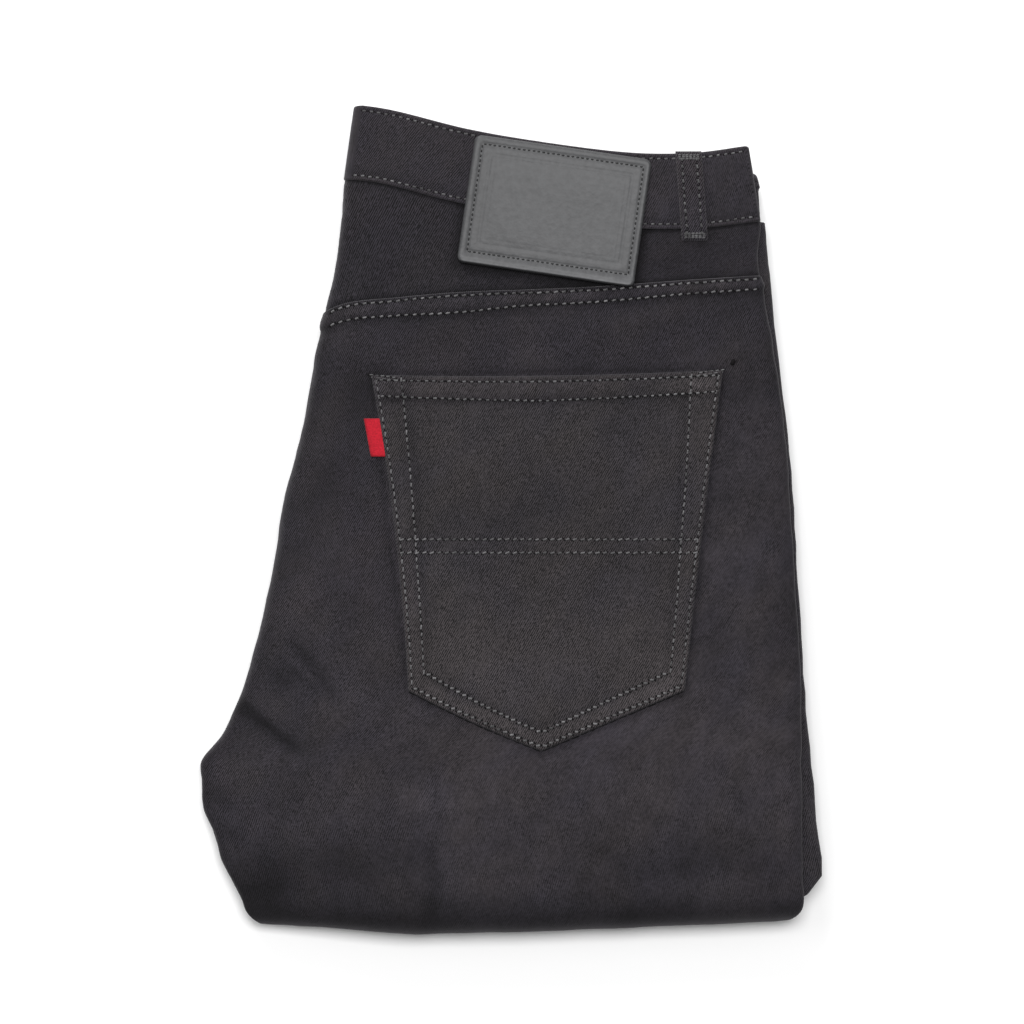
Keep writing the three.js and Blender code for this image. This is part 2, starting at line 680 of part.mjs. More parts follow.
const DENIM = { color: 0x232125, roughness: 0.92, metalness: 0 };
const PIECES = [
  { name: 'folded_layers', geometry: foldedLayersGeometry(), finish: { ...DENIM, color: 0x1e1c20 } },
  { name: 'back_leg_right', geometry: backLegGeometry(), finish: DENIM },
  { name: 'yoke_right', geometry: yokeGeometry(), finish: DENIM },
  { name: 'waistband', geometry: waistbandGeometry(), finish: DENIM },
  { name: 'pocket_back_right', geometry: pocketGeometry(), finish: { ...DENIM, color: 0x2c2a2c } },
  { name: 'patch', geometry: patchGeometry(), finish: { color: 0x55575b, roughness: 0.6, metalness: 0 } },
  { name: 'tab', geometry: tabGeometry(), finish: { color: 0xb01c2c, roughness: 0.8, metalness: 0 } },
  { name: 'belt_loop_right', geometry: beltLoopGeometry(), finish: DENIM },
];

const jeans = new THREE.Group();
for (const { name, geometry, finish } of PIECES) {
  const mesh = new THREE.Mesh(geometry, new THREE.MeshStandardMaterial(finish));
  mesh.name = name;
  jeans.add(mesh);
}

// The origin is under the middle of the folded garment
const box = new THREE.Box3().setFromObject(jeans);
const middle = box.getCenter(new THREE.Vector3());
jeans.position.set(-middle.x, -middle.y, -box.min.z);

export default jeans;
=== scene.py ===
# Straight leg jeans, folded in half with the back outside, then in three along the legs.
# Sizes are in millimetres in the garment's own plan: X to the side seam, Y to the waistband, Z up.
import math

import bpy
import mathutils
import numpy as np
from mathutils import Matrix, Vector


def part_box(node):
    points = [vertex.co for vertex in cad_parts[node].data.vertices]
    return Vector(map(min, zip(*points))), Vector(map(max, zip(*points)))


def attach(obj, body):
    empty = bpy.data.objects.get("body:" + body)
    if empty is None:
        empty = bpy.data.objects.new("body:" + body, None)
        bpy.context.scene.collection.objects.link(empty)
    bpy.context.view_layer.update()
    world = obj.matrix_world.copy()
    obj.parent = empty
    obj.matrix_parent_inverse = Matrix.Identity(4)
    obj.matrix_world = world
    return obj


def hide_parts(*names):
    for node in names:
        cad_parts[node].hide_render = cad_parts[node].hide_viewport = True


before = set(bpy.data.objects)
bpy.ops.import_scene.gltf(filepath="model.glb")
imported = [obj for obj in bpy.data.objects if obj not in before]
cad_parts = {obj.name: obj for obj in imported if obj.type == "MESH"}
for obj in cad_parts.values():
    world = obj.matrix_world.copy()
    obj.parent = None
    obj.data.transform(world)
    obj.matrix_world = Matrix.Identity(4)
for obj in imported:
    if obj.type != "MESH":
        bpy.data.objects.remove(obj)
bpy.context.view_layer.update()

MM = 0.001

# Driving sizes, as in the part's source
CLOTH = 1.4
WAIST_GAP = 0.6
REST_GAP = 0.4
LEG_SLAB = 4.4
LAP_RAISE = 1.0
BAND_PLY = 2
BAND_RISE = 0.9
FLY_SETBACK = 2.3
POCKET_CLOTH = 1.3
HEM_RAISE = 0.7
PATCH_THICK = 1.9
TAB_THICK = 0.7
LOOP_WIDTH = 12.5
LOOP_THICK = 1.6
BACK_FOLD_Y = 160
HEM_Y = -172
SIX_LEGS = 6 * LEG_SLAB
FOUR_LEGS = 4 * LEG_SLAB
TWO_LEGS = 2 * LEG_SLAB


def table(columns, *rows):
    """A short table with named columns, one row for each section."""
    values = np.array(rows, float)
    return {name: values[:, index] for index, name in enumerate(columns.split())}


# Outline of the seat and thigh that lie on top, from the bottom fold to the waistband
TOP_OUTLINE = table(
    "y left right",
    (-202, -123, 133.5),
    (-195, -130, 141),
    (-187, -133.2, 142.6),
    (-176, -137.6, 142.2),
    (-156, -145, 142),
    (-137, -151.6, 141.8),
    (-122, -152, 141.6),
    (-113, -147.6, 141.4),
    (-98, -137.4, 141.4),
    (-69, -126.6, 141),
    (-30, -117.4, 138.2),
    (9, -110.6, 136),
    (47, -101, 132.6),
    (86, -94, 127.2),
    (105, -89.2, 123.8),
    (125, -84.6, 120.4),
    (144, -82.6, 121.6),
    (166, -80.8, 118),
)
# The other leg, under it
UNDER_OUTLINE = table(
    "y left right",
    (-202, -116, 122),
    (-193, -125, 134),
    (-184, -129.5, 146),
    (-174, -134, 151.2),
    (-165, -138.5, 152),
    (-137, -147.6, 148.6),
    (-122, -149, 147),
    (-98, -136.6, 144.6),
    (-69, -126.4, 142.6),
    (-30, -117.2, 140),
    (9, -110.4, 137.8),
    (47, -100.8, 134.6),
    (86, -93.8, 129.6),
    (125, -84.4, 125.8),
    (166, -80.6, 121),
)
FLOOR_OUTLINE = table(
    "y left right",
    (-202, -121, 131),
    (-187, -129, 142),
    (-120, -116, 143),
    (0, -90, 134.5),
    (100, -80, 126),
    (172, -77.5, 121),
)
HEM_OUTLINE = table(
    "y left right",
    (-180, -72, 133),
    (-60, -74, 131),
    (80, -76, 125),
    (172, -77.5, 120.5),
)
BOTTOM_EDGE = table(
    "x y",
    (-130, -199),
    (-92, -200.8),
    (-44, -203.8),
    (0, -203),
    (72, -200.2),
    (142, -197),
)
YOKE_SEAM = table(
    "x y",
    (-96, 97.6),
    (-80, 103.6),
    (-58, 106.1),
    (-25, 108.9),
    (7, 110.1),
    (40, 111.5),
    (88, 115),
    (126, 117.3),
)
# The yoke seam's two rows of stitches: how far each lies below the seam
FIRST_ROW = 1.2
SECOND_ROW = table(
    "x drop",
    (-96, 7.6),
    (-58, 8.2),
    (-25, 9.2),
    (7, 7.2),
    (40, 6.9),
    (88, 6.2),
    (126, 6),
)
WAISTBAND = table(
    "part top_x top_y bottom_x bottom_y",
    (0, -76, 200.9, -80.8, 164.6),
    (0.1, -57.5, 198, -62.5, 162.4),
    (0.3, -19, 188.4, -24.5, 152.8),
    (0.5, 21, 181.6, 18, 145.4),
    (0.7, 61, 177, 61.5, 140.6),
    (0.85, 90, 177.2, 93, 140.8),
    (1, 115.5, 180.6, 121.4, 144.2),
)
BAND_WIDTH = WAISTBAND["bottom_x"][-1] - WAISTBAND["bottom_x"][0]
# Soft troughs: from, to, width and depth. The first three are in the solids too.
CREASES = table(
    "from_x from_y to_x to_y width depth",
    (-134, -86, -101, -121, 13, 1.8),
    (-112, -62, -86, -92, 12, 1.2),
    (-40, -160, -36, -196, 10, 1),
)
POCKET = {
    "top_left": (-67.5, 69.2),
    "top_right": (103, 71.6),
    "foot_left": (-49.5, -84),
    "foot_right": (84.5, -83.8),
    "tip": (15, -113.2),
    "hollow_left": 2.6,
    "hollow_right": 0.6,
    "top_sag": 1.6,
    "foot_bow": 1.3,
}
PATCH = {"x": 21.3, "y": 148.8, "width": 86.6, "height": 62.8, "tilt": -8.3}
# How far the patch's stitches are from its edges
PATCH_ROW = {"left": 4.2, "right": 3.6, "top": 4.3, "bottom": 5.7}
# Half the patch's width and height
HALF_WIDTH, HALF_HEIGHT = PATCH["width"] / 2, PATCH["height"] / 2
TAB = {"left": -71, "right": -62, "top": 48, "bottom": 29.8, "lean": 3.4}
BELT_LOOP_PART = 0.83
# Where the pocket's tip is across its foot, and how steep the foot is, in degrees
FOOT_MIDDLE = 0.4813
FOOT_SLOPE = 24


def follow(rows, key, column, at):
    """The value of a smooth curve through a table's rows."""
    keys, values = rows[key], rows[column]
    at = np.clip(np.asarray(at, float), keys[0], keys[-1])
    row = np.clip(np.searchsorted(keys, at, side="left") - 1, 0, len(keys) - 2)
    before = np.r_[0, np.arange(len(keys) - 1)]
    after = np.r_[np.arange(1, len(keys)), len(keys) - 1]
    slope = (values[after] - values[before]) / (keys[after] - keys[before])
    span = keys[row + 1] - keys[row]
    t = (at - keys[row]) / span
    return (
        (2 * t**3 - 3 * t**2 + 1) * values[row]
        + (t**3 - 2 * t**2 + t) * slope[row] * span
        + (3 * t**2 - 2 * t**3) * values[row + 1]
        + (t**3 - t**2) * slope[row + 1] * span
    )


def lerp(a, b, t):
    return a + (b - a) * t


def blend(start, end, value):
    """From 0 at start to 1 at end, with soft ends."""
    t = np.clip((value - start) / (end - start), 0, 1)
    return t * t * (3 - 2 * t)


def bell(distance, width):
    return np.exp(-((distance / width) ** 2))


def arch(t):
    """0 at both ends of the range from 0 to 1, and 1 in its middle."""
    return 4 * t * (1 - t)


def rounded(edge, radius, least):
    """The share of its thickness that a sheet has near its edge, as a quarter round."""
    return np.sqrt(np.clip(1 - (1 - np.clip(edge / radius, 0, 1)) ** 2, least, 1))


def stripes(*rows):
    """Sum of soft stripes. Each row says amount, distance, the stripe's place in it, and width."""
    return sum(amount * bell(distance - place, width) for amount, distance, place, width in rows)


def turned(x, y, degrees):
    """x and y of a point turned anticlockwise about the origin."""
    c, s = math.cos(math.radians(degrees)), math.sin(math.radians(degrees))
    return x * c - y * s, x * s + y * c


class Noise:
    """Smooth lattice noise between -1 and 1, the same on every run."""

    CELLS = 96
    ORIGIN = (31.7, 47.3)

    def __init__(self, seed):
        self.grid = np.random.RandomState(seed).uniform(-1, 1, (self.CELLS, self.CELLS))

    def __call__(self, x, y, size, stretch=1.0, turn=0.0):
        u, v = turned(np.asarray(x), np.asarray(y), -turn)
        u = u / (size * stretch) + self.ORIGIN[0]
        v = v / size + self.ORIGIN[1]
        column, row = np.floor(u).astype(int), np.floor(v).astype(int)
        across, up = blend(0, 1, u - column), blend(0, 1, v - row)

        def at(right, above):
            return self.grid[(column + right) % self.CELLS, (row + above) % self.CELLS]

        return lerp(lerp(at(0, 0), at(1, 0), across), lerp(at(0, 1), at(1, 1), across), up)


broad_noise = Noise(11)
fine_noise = Noise(23)
fold_noise = Noise(37)
edge_noise = Noise(53)


def crease_depth(x, y, rows=CREASES):
    depth = 0
    for from_x, from_y, to_x, to_y, width, deep in zip(*rows.values()):
        way_x, way_y = to_x - from_x, to_y - from_y
        length = math.hypot(way_x, way_y)
        along = ((x - from_x) * way_x + (y - from_y) * way_y) / length
        across = ((x - from_x) * way_y - (y - from_y) * way_x) / length
        ends = blend(-8, 10, along) * (1 - blend(length - 10, length + 8, along))
        depth = depth + deep * ends * bell(across, width)
    return depth


def top_height(x, y):
    """Six legs thick, lower where fewer legs lie under it."""
    floor_left = follow(FLOOR_OUTLINE, "y", "left", y)
    hem_left = follow(HEM_OUTLINE, "y", "left", y)
    hem_right = follow(HEM_OUTLINE, "y", "right", y)
    on_floor_legs = blend(floor_left - 60, floor_left + 10, x)
    on_hem_legs = blend(hem_left - 75, hem_left + 5, x)
    right_drop = 1.6 * blend(hem_right - 12, hem_right + 16, x)
    bottom_drop = 2.6 * blend(-150, -206, y)
    waist_drop = 3.2 * blend(158, 208, y)
    height = TWO_LEGS * (1 + on_floor_legs + on_hem_legs)
    return height - right_drop - bottom_drop - waist_drop - crease_depth(x, y)


def fold_centre_y(x):
    return follow(BOTTOM_EDGE, "x", "y", x) + SIX_LEGS / 2


def waist_part(x):
    part = np.full_like(np.asarray(x, float), 0.5)
    for _ in range(8):
        here = follow(WAISTBAND, "part", "bottom_x", part)
        part = np.clip(part + (x - here) / BAND_WIDTH, 0, 1)
    return part


def waist_y(x):
    return follow(WAISTBAND, "part", "bottom_y", waist_part(x))


def seam_y(x):
    return follow(YOKE_SEAM, "x", "y", x)


# Stations along the roll of the legs. Each places points from x and their depth in the roll:
# depth 0 is the outer face of the right leg, which is outside all the way round.
def flat_station(outline, y, base, way):
    """A row at one y, on a layer whose depth is counted up or down from a base."""

    def place(x, depth):
        return np.stack([x, np.full_like(x, y), base + way * depth], -1)

    return {"outline": outline, "row_y": lambda x: y, "place": place}


def floor_station(y):
    return flat_station("floor", y, 0, 1)


def hem_station(y):
    return flat_station("hem", y, FOUR_LEGS, -1)


def back_fold_station(degrees):
    up, out = math.sin(math.radians(degrees)), math.cos(math.radians(degrees))

    def place(x, depth):
        return np.stack([x, BACK_FOLD_Y + (TWO_LEGS - depth) * out, TWO_LEGS + (TWO_LEGS - depth) * up], -1)

    return {"outline": "floor", "row_y": lambda x: BACK_FOLD_Y + TWO_LEGS * out, "place": place}


# How far an edge of the upper half bulges outward, in short soft bumps
LEFT_BUMPS = table(
    "y reach out",
    (-107, 6, -1.3),
    (-118, 4, 0.4),
    (-130.5, 5, -1.2),
    (-143, 4, 0.5),
    (-155, 5, -0.7),
    (-167, 5, 0.8),
    (-185, 8, -1.5),
)
UNDER_BUMPS = table(
    "y reach out",
    (-152, 10, -1.6),
    (-174, 4, 1.0),
    (-184, 4, -1.2),
)


def bumps(rows, y):
    return sum(out * bell(y - at, reach) for at, reach, out in zip(rows["y"], rows["reach"], rows["out"]))


def edge_at(station, leg, side):
    """x of a leg's left or right edge at a station, with its small unevenness."""
    upper = UNDER_OUTLINE if leg == "under" else TOP_OUTLINE
    outline = {"floor": FLOOR_OUTLINE, "hem": HEM_OUTLINE}.get(station["outline"], upper)
    x = -110.0 if side == "left" else 130.0
    for _ in range(8):
        y = station["row_y"](x)
        x = follow(outline, "y", side, y)
        if station["outline"] == "bottom_fold":
            x = lerp(x, follow(FLOOR_OUTLINE, "y", side, y), station["share"])
    # Each layer of each leg has its own row of the noise
    noise_row = {"floor": 60, "hem": 120}.get(station["outline"], 0)
    noise_row += 200 if leg == "under" else 0
    x = x + 0.45 * edge_noise(noise_row, y, 9)
    if station["outline"] in ("top", "bottom_fold"):
        if side == "left":
            x = x - bumps(LEFT_BUMPS, y)
        elif leg == "under":
            x = x + bumps(UNDER_BUMPS, y)
    return float(x)


def seat_share(station, x):
    """1 where both legs are one seat and the cloth rolls round the centre back over both."""
    return float(blend(-132, -104, station["row_y"](x))) if station["outline"] == "top" else 0.0


def rolled(radius, inset, steps):
    """Distances from the edge and depths of a quarter round, from the side up to the flat."""
    angle = np.linspace(0, math.pi / 2, steps + 1)
    return radius - (radius - inset) * np.cos(angle), radius - (radius - inset) * np.sin(angle)


def cloth_row(station, leg, columns, inset, roll_left):
    """x and depth of a row across a leg: rolled left edge, flat, rolled right edge."""
    left, right = edge_at(station, leg, "left"), edge_at(station, leg, "right")
    roll_right = LEG_SLAB / 2
    left_out, left_down = rolled(roll_left, inset, 7)
    right_out, right_down = rolled(roll_right, inset, 5)
    flat = np.linspace(left + roll_left, right - roll_right, columns + 1)[1:-1]
    x = np.concatenate([left + left_out, flat, (right - right_out)[::-1]])
    flat_down = np.full_like(flat, inset)
    return x, np.concatenate([left_down, flat_down, right_down[::-1]])


def grid_uv(points):
    """Cloth coordinates in millimetres: distance across each row, and along the middle column."""
    across = np.linalg.norm(np.diff(points, axis=1), axis=2)
    across = np.concatenate([np.zeros((len(points), 1)), np.cumsum(across, 1)], 1)
    middle = points.shape[1] // 2
    across = across - across[:, middle : middle + 1] + points[:, middle, 0][0]
    along = np.linalg.norm(np.diff(points[:, middle], axis=0), axis=1)
    along = np.concatenate([[0], np.cumsum(along)])
    return np.stack([across, np.repeat(-along[:, None], points.shape[1], 1)], -1)


def finished(name, mesh, material, slot):
    """Puts a piece into the scene with its material and body. The slot is not used."""
    piece = bpy.data.objects.new(name, mesh)
    bpy.context.scene.collection.objects.link(piece)
    mesh.materials.append(material)
    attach(piece, "root")
    return piece


def shell(name, outside, inside, uv, tone_and_shade, material, slot="denim", loop=False):
    """A closed shell of cloth between two matching grids, with rounded rims."""
    rows, columns = outside.shape[:2]
    count = rows * columns
    index = np.arange(count).reshape(rows, columns)
    here, beside = (index, np.roll(index, -1, 1)) if loop else (index[:, :-1], index[:, 1:])
    quads = np.stack([here[:-1], here[1:], beside[1:], beside[:-1]], -1).reshape(-1, 4)
    faces = [quads, quads[:, [0, 3, 2, 1]] + count]
    flat_out, flat_in = outside.reshape(-1, 3), inside.reshape(-1, 3)
    vertices = [flat_out, flat_in]
    source = [np.arange(count), np.arange(count)]
    # The point one step in from each point of the border
    side = 0 if loop else 1
    step_in = np.pad(index[1:-1, side : columns - side], ((1, 1), (side, side)), mode="edge").ravel()

    def rim(line, flip):
        away = flat_out[line] - flat_out[step_in[line]]
        away /= np.maximum(np.linalg.norm(away, axis=1, keepdims=True), 1e-9)
        thick = np.linalg.norm(flat_out[line] - flat_in[line], axis=1, keepdims=True)
        middle = np.arange(len(line)) + sum(len(part) for part in vertices)
        vertices.append((flat_out[line] + flat_in[line]) / 2 + away * thick * 0.3)
        source.append(line)
        rings = [np.r_[ring, ring[:1]] for ring in (line, middle, line + count)]
        for first, second in zip(rings[:-1], rings[1:]):
            strip = np.stack([first[:-1], first[1:], second[1:], second[:-1]], -1)
            faces.append(strip[:, ::-1] if flip else strip)

    if loop:
        rim(index[0], False)
        rim(index[-1], True)
    else:
        # One closed rim runs round the four sides, so that its corners are shared
        rim(np.concatenate([index[0], index[1:, -1], index[-1, -2::-1], index[-2:0:-1, 0]]), False)
    source = np.concatenate(source)
    quads = np.concatenate(faces)
    mesh = bpy.data.meshes.new(name)
    mesh.from_pydata(((np.concatenate(vertices) + SHIFT) * MM).tolist(), [], quads.tolist())
    layer = mesh.uv_layers.new(name="cloth")
    layer.uv.foreach_set("vector", uv.reshape(-1, 2)[source[quads.ravel()]].astype(np.float32).ravel())
    # The attribute scales the colour: the cloth's tone and fading, with painted shade and painted light
    attribute = mesh.attributes.new("tone_and_shade", "FLOAT", "POINT")
    attribute.data.foreach_set("value", tone_and_shade.reshape(-1)[source].astype(np.float32))
    mesh.shade_smooth()
    mesh.update()
    return finished(name, mesh, material, slot)


# The solids' group is centred on its box, so the garment's plan is shifted by the same amount
SHIFT = np.array([
    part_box("tab")[0].x / MM - TAB["left"],
    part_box("tab")[1].y / MM - TAB["top"],
    0.0,
])

# Unevenness of the whole stack: places in the seat and thigh that stand or sink a little
SWELLS = table(
    "x y reach_x reach_y turn amount",
    (-70, 84, 26, 12, 10, 0.7),
    (-104, -24, 16, 40, -14, 0.7),
    (-92, -106, 15, 30, 40, 1.0),
    (-122, -118, 12, 16, 35, 0.8),
    (-74, -150, 30, 20, 10, 0.5),
    (118, 20, 12, 50, -6, 0.5),
    (110, -120, 22, 34, 10, 0.6),
    (20, -150, 40, 16, -4, 0.5),
    (120, 90, 12, 20, -8, 0.5),
    (60, 96, 34, 7, 4, 0.4),
    (-98, -62, 6, 5, -50, 0.5),
    (-116, -92, 7, 5, -45, 0.6),
    (-10, 92, 40, 6, 3, 0.35),
    (-90, -184, 36, 18, 4, -1.4),
    (96, -182, 40, 16, 2, -1.0),
    (-124, -98, 9, 7, -40, 0.7),
    (-110, -128, 16, 9, -30, 0.7),
    (-97, -68, 9, 7, -45, 0.5),
    (-72, 64, 9, 16, -10, -0.6),
    (-86, 22, 10, 14, -20, -0.5),
)
# Shallow troughs beyond those in the solids
TROUGHS = table(
    "from_x from_y to_x to_y width depth",
    (-88, 98, -70, 58, 7, 0.5),
    (-80, -118, -60, -170, 8, 0.6),
    (96, -96, 132, -128, 9, 0.5),
    (104, 96, 122, 40, 6, 0.45),
    (-60, -124, 96, -128, 9, 0.35),
    (60, -176, 118, -166, 8, 0.4),
    (-96, 20, -84, -40, 8, 0.45),
    (-137, -88, -101, -116, 4, 2.0),
    (-106, -60, -84, -90, 3.6, 1.4),
    (-118, -76, -106, -82, 3.4, 0.8),
    (-150, -131, -132, -146, 4, 1.0),
    (-144, -152, -128, -160, 4, 0.9),
    (-136, -184, -104, -180, 4.5, 0.9),
    (-38, -158, -36, -196, 4, 0.5),
)
# Soft places painted lighter and darker: many are painted shade and light on the swells, folds and creases,
# and the last four rows are the painted shade and highlight on the sides of two creases
SPOTS_AND_PAINTED_SHADE = table(
    "x y reach_x reach_y turn amount",
    (-73, 58, 13, 18, -10, -0.42),
    (-84, 20, 13, 16, -20, -0.28),
    (-101, -4, 9, 20, -12, -0.28),
    (-79, -40, 10, 12, 0, -0.16),
    (-105, -80, 14, 10, -40, -0.24),
    (-128, -104, 12, 8, -45, -0.26),
    (-80, -110, 26, 8, 0, -0.12),
    (-87, -170, 38, 13, 2, -0.42),
    (-121, -178, 13, 20, 20, -0.36),
    (-38, -173, 4, 22, 0, -0.18),
    (88, -168, 42, 9, 3, -0.24),
    (126, -176, 14, 12, 0, -0.12),
    (-46, -137, 9, 9, 0, 0.2),
    (-27, -139, 14, 7, 0, 0.12),
    (2, -172, 32, 14, 0, 0.1),
    (116, -104, 13, 46, -4, -0.08),
    (90, -130, 50, 40, 0, -0.07),
    (-112, -140, 26, 18, 0, -0.1),
    (131, -50, 6, 34, -3, -0.2),
    (113, 72, 12, 16, 0, -0.1),
    (-114, -124, 16, 12, 0, -0.04),
    (-116, -80, 14, 10, -40, -0.14),
    (-82, -128, 24, 14, 0, -0.07),
    (-70, -156, 34, 12, 0, -0.08),
    (-117, -162, 12, 10, 0, -0.1),
    (102, -138, 16, 12, 0, 0.12),
    (-118.6, -100.5, 16, 2, -40, -0.26),
    (-116.6, -98, 14, 2, -40, 0.16),
    (-103, -76.3, 13, 1.9, -42, -0.24),
    (-101, -73.8, 12, 2, -42, 0.16),
)
# Soft places on the pocket painted lighter and darker, partly painted shade; the third row is a painted
# shadow
POCKET_SPOTS_AND_PAINTED_SHADE = table(
    "x y reach_x reach_y turn amount",
    (54, -20, 11, 12, 0, -0.16),
    (74, -28, 9, 24, -5, -0.18),
    (-28, -6, 26, 10, 0, -0.1),
    (-10, -80, 16, 9, -25, 0.14),
    (72, -80, 15, 9, 25, 0.16),
    (93, 64, 8, 5, 0, 0.9),
    (-60, 60, 8, 8, 0, -0.2),
    (-50, 30, 10, 30, 8, -0.12),
    (15, 1, 80, 17, 0, -0.13),
    (0, -68, 46, 17, 0, 0.12),
)


def soft_ovals(x, y, rows):
    """Sum of a table's soft oval places."""
    total = 0
    for at_x, at_y, reach_x, reach_y, turn, amount in zip(*rows.values()):
        u, v = turned(x - at_x, y - at_y, -turn)
        total = total + amount * np.exp(-((u / reach_x) ** 2) - (v / reach_y) ** 2)
    return total


def relief(x, y):
    """How far the stack's top stands above its plain form."""
    height = 0.3 * broad_noise(x, y, 46) + 0.14 * fold_noise(x, y, 19, 1.7, 30) + soft_ovals(x, y, SWELLS)
    height = height - crease_depth(x, y, TROUGHS)
    height = height + 0.22 * broad_noise(x, y, 13, 1.5, -35) * blend(-60, -90, x)
    return height * blend(200, 150, y) - 0.15


def stack_height(x, y):
    return top_height(x, y) + relief(x, y)


POCKET_CORNERS = ("top_left", "top_right", "foot_right", "tip", "foot_left")


def pocket_frame(x, y):
    """Distance inside the pocket from its nearest edge, negative outside it."""
    corners = [np.array(POCKET[name]) for name in POCKET_CORNERS]
    inside = np.full(np.broadcast(x, y).shape, 1e9)
    for a, b in zip(corners, corners[1:] + corners[:1]):
        along = (b - a) / np.linalg.norm(b - a)
        inside = np.minimum(inside, (x - a[0]) * along[1] - (y - a[1]) * along[0])
    return inside


def from_edge(x, y, side):
    """Distance in from the left or right edge of the seat, negative beyond it."""
    inward = 1 if side == "left" else -1
    return inward * (x - follow(TOP_OUTLINE, "y", side, y))


def side_seam(right):
    """The allowance under the side seam, by the distance from the right edge."""
    return 0.45 * blend(1.5, 3.5, right) * (1 - blend(11, 14.5, right))


def seat_detail(x, y):
    """Sewn detail of the seat's outer face: the lap of the yoke seam, puckers, side seam."""
    below = seam_y(x) - y
    second = follow(SECOND_ROW, "x", "drop", x)
    middle = (FIRST_ROW + second) / 2
    end = second + 0.5 * fine_noise(x, 0 * x, 5)
    lap = LAP_RAISE * (1 - blend(end - 1.0, end + 2.0, below)) * (0.7 + 0.3 * blend(-0.2, 0.8, below))
    rows = stripes((-0.2, below, FIRST_ROW, 0.9), (-0.34, below, second, 1.1)) * blend(-0.5, 1, below)
    pull = fine_noise(x + 0.3 * below, below, 3.1) * 0.5 + fold_noise(x - 0.4 * below, 0.28 * below, 4.6)
    pucker = pull * stripes((0.3, below, 8, 9), (0.09, below, 20, 14)) * blend(-0.5, 1.5, below)
    pucker = pucker + 0.42 * fine_noise(x + 0.4 * below, 0.2 * below, 3.2) * bell(below - middle, 2.6)
    right = from_edge(x, y, "right")
    side = side_seam(right) * blend(-190, -150, y) + 0.1 * fine_noise(x, y, 6) * bell(right - 8, 9)
    around = pocket_frame(x, y)
    edge = 0.14 * fine_noise(x, y, 4.2) * bell(around + 3, 5) - 0.16 * bell(around + 0.8, 1.6)
    weave = 0.05 * fine_noise(x, y, 2.3) + 0.06 * fold_noise(x, y, 7)
    return lap + rows + stripes((0.34, below, middle, 2.2)) + pucker + side + edge + weave


def sharp_dark(x, y):
    """Shade in the narrow creases."""
    narrow = TROUGHS["width"] < 5
    return crease_depth(x, y, {name: values[narrow] for name, values in TROUGHS.items()})


def seat_wear_and_shade(x, y):
    """Painted shade darkens the yoke seam's lap, the rolled edges, the pocket's outline, the narrow creases
    and the bottom fold; the strip between the seam's rows is lighter and uneven, and soft places are lighter
    and darker.
    """
    below = seam_y(x) - y
    second = follow(SECOND_ROW, "x", "drop", x)
    strip = bell(below - (FIRST_ROW + second) / 2, 2.3)
    left, right, around = from_edge(x, y, "left"), from_edge(x, y, "right"), pocket_frame(x, y)
    # Painted shade at the seam's edge and under the lap's edge, along the rolled left and right edges, at the
    # side seam's allowance and round the pocket
    lift = stripes(
        (-0.32, below, 0, 0.9),
        (-0.22, below, second + 2.1, 2.4),
        (-0.34, left, 0, 6.5),
        (-0.24, right, 0, 6),
        (-0.08, right, 14.5, 2.5),
        (-0.3, around, -0.5, 0.9),
        (-0.1, around, -1.5, 2.2),
    )
    lift = lift + (0.16 + 0.34 * fine_noise(x + 0.4 * below, 0.2 * below, 3.2)) * strip
    lift = lift + 0.3 * bell(x - 25, 105) * bell(y + 116, 46) + 0.12 * bell(x - 120, 34) * blend(60, -40, y)
    # Darker towards the top, and painted shade over the bottom fold, which turns away from the light
    lift = lift - 0.16 * blend(20, 95, y) - 0.62 * blend(-176, -198, y)
    # Soft places painted lighter and darker, and painted shade in the narrow creases
    lift = lift + soft_ovals(x, y, SPOTS_AND_PAINTED_SHADE) - 0.26 * sharp_dark(x, y)
    lift = lift + 0.07 * broad_noise(x, y, 30) + 0.07 * broad_noise(x + 90, y, 13)
    return np.maximum(lift + 0.05 * fold_noise(x, y, 9, 1.6, 60), -0.72)


def seat_station(row_y):
    def place(x, depth):
        y = row_y(x)
        return np.stack([x, y + 0 * x, stack_height(x, y) - depth], -1)

    return {"outline": "top", "row_y": row_y, "place": place, "share_top": 1.0}


def fold_station(degrees):
    """The bottom fold. The legs press on each other, so the fold isn't a plain half round."""
    up, out = math.sin(math.radians(degrees)), math.cos(math.radians(degrees))
    top = (1 + up) / 2

    def place(x, depth):
        centre = fold_centre_y(x)
        half = (top_height(x, centre) + relief(x, centre) * top) / 2
        squeezed = depth * (half / (SIX_LEGS / 2))
        bulge = out * (0.55 * fold_noise(x, 0 * x + 7 * up, 17) + 0.25 * fine_noise(x, 0 * x + 5 * up, 8))
        y = centre - (SIX_LEGS / 2 - depth) * out - bulge * 0.7
        return np.stack([x, y, half + (half - squeezed) * up], -1)

    return {
        "outline": "bottom_fold",
        "share": (1 - up) / 2,
        "row_y": lambda x: fold_centre_y(x) - (SIX_LEGS / 2) * out,
        "place": place,
        "share_top": top,
    }


def between(low, high, part):
    return seat_station(lambda x: lerp(low(x), high(x), part))


# How far the finely spaced rows of the lap reach, and how far the rest goes on to the bottom fold
LAP_REACH = 14
SEAT_LENGTH = 288
FLOOR_START_Y = -186


def leg_stations(step):
    """From the lap of the yoke seam to the end of the back fold, a row about every step."""
    drops = np.arange(0, LAP_REACH, min(step, 1.0))
    lap = [seat_station(lambda x, drop=drop: seam_y(x) - drop) for drop in drops]
    count = int(SEAT_LENGTH / step)
    seat = [between(lambda x: seam_y(x) - LAP_REACH, fold_centre_y, k / count) for k in range(count)]
    folds = [fold_station(degrees) for degrees in np.linspace(90, -90, 25)]
    floor = [floor_station(float(y)) for y in np.linspace(FLOOR_START_Y, BACK_FOLD_Y, 16)[1:]]
    back = [back_fold_station(degrees) for degrees in np.linspace(-90, 58, 13)[1:]]
    return lap + seat + folds + floor + back


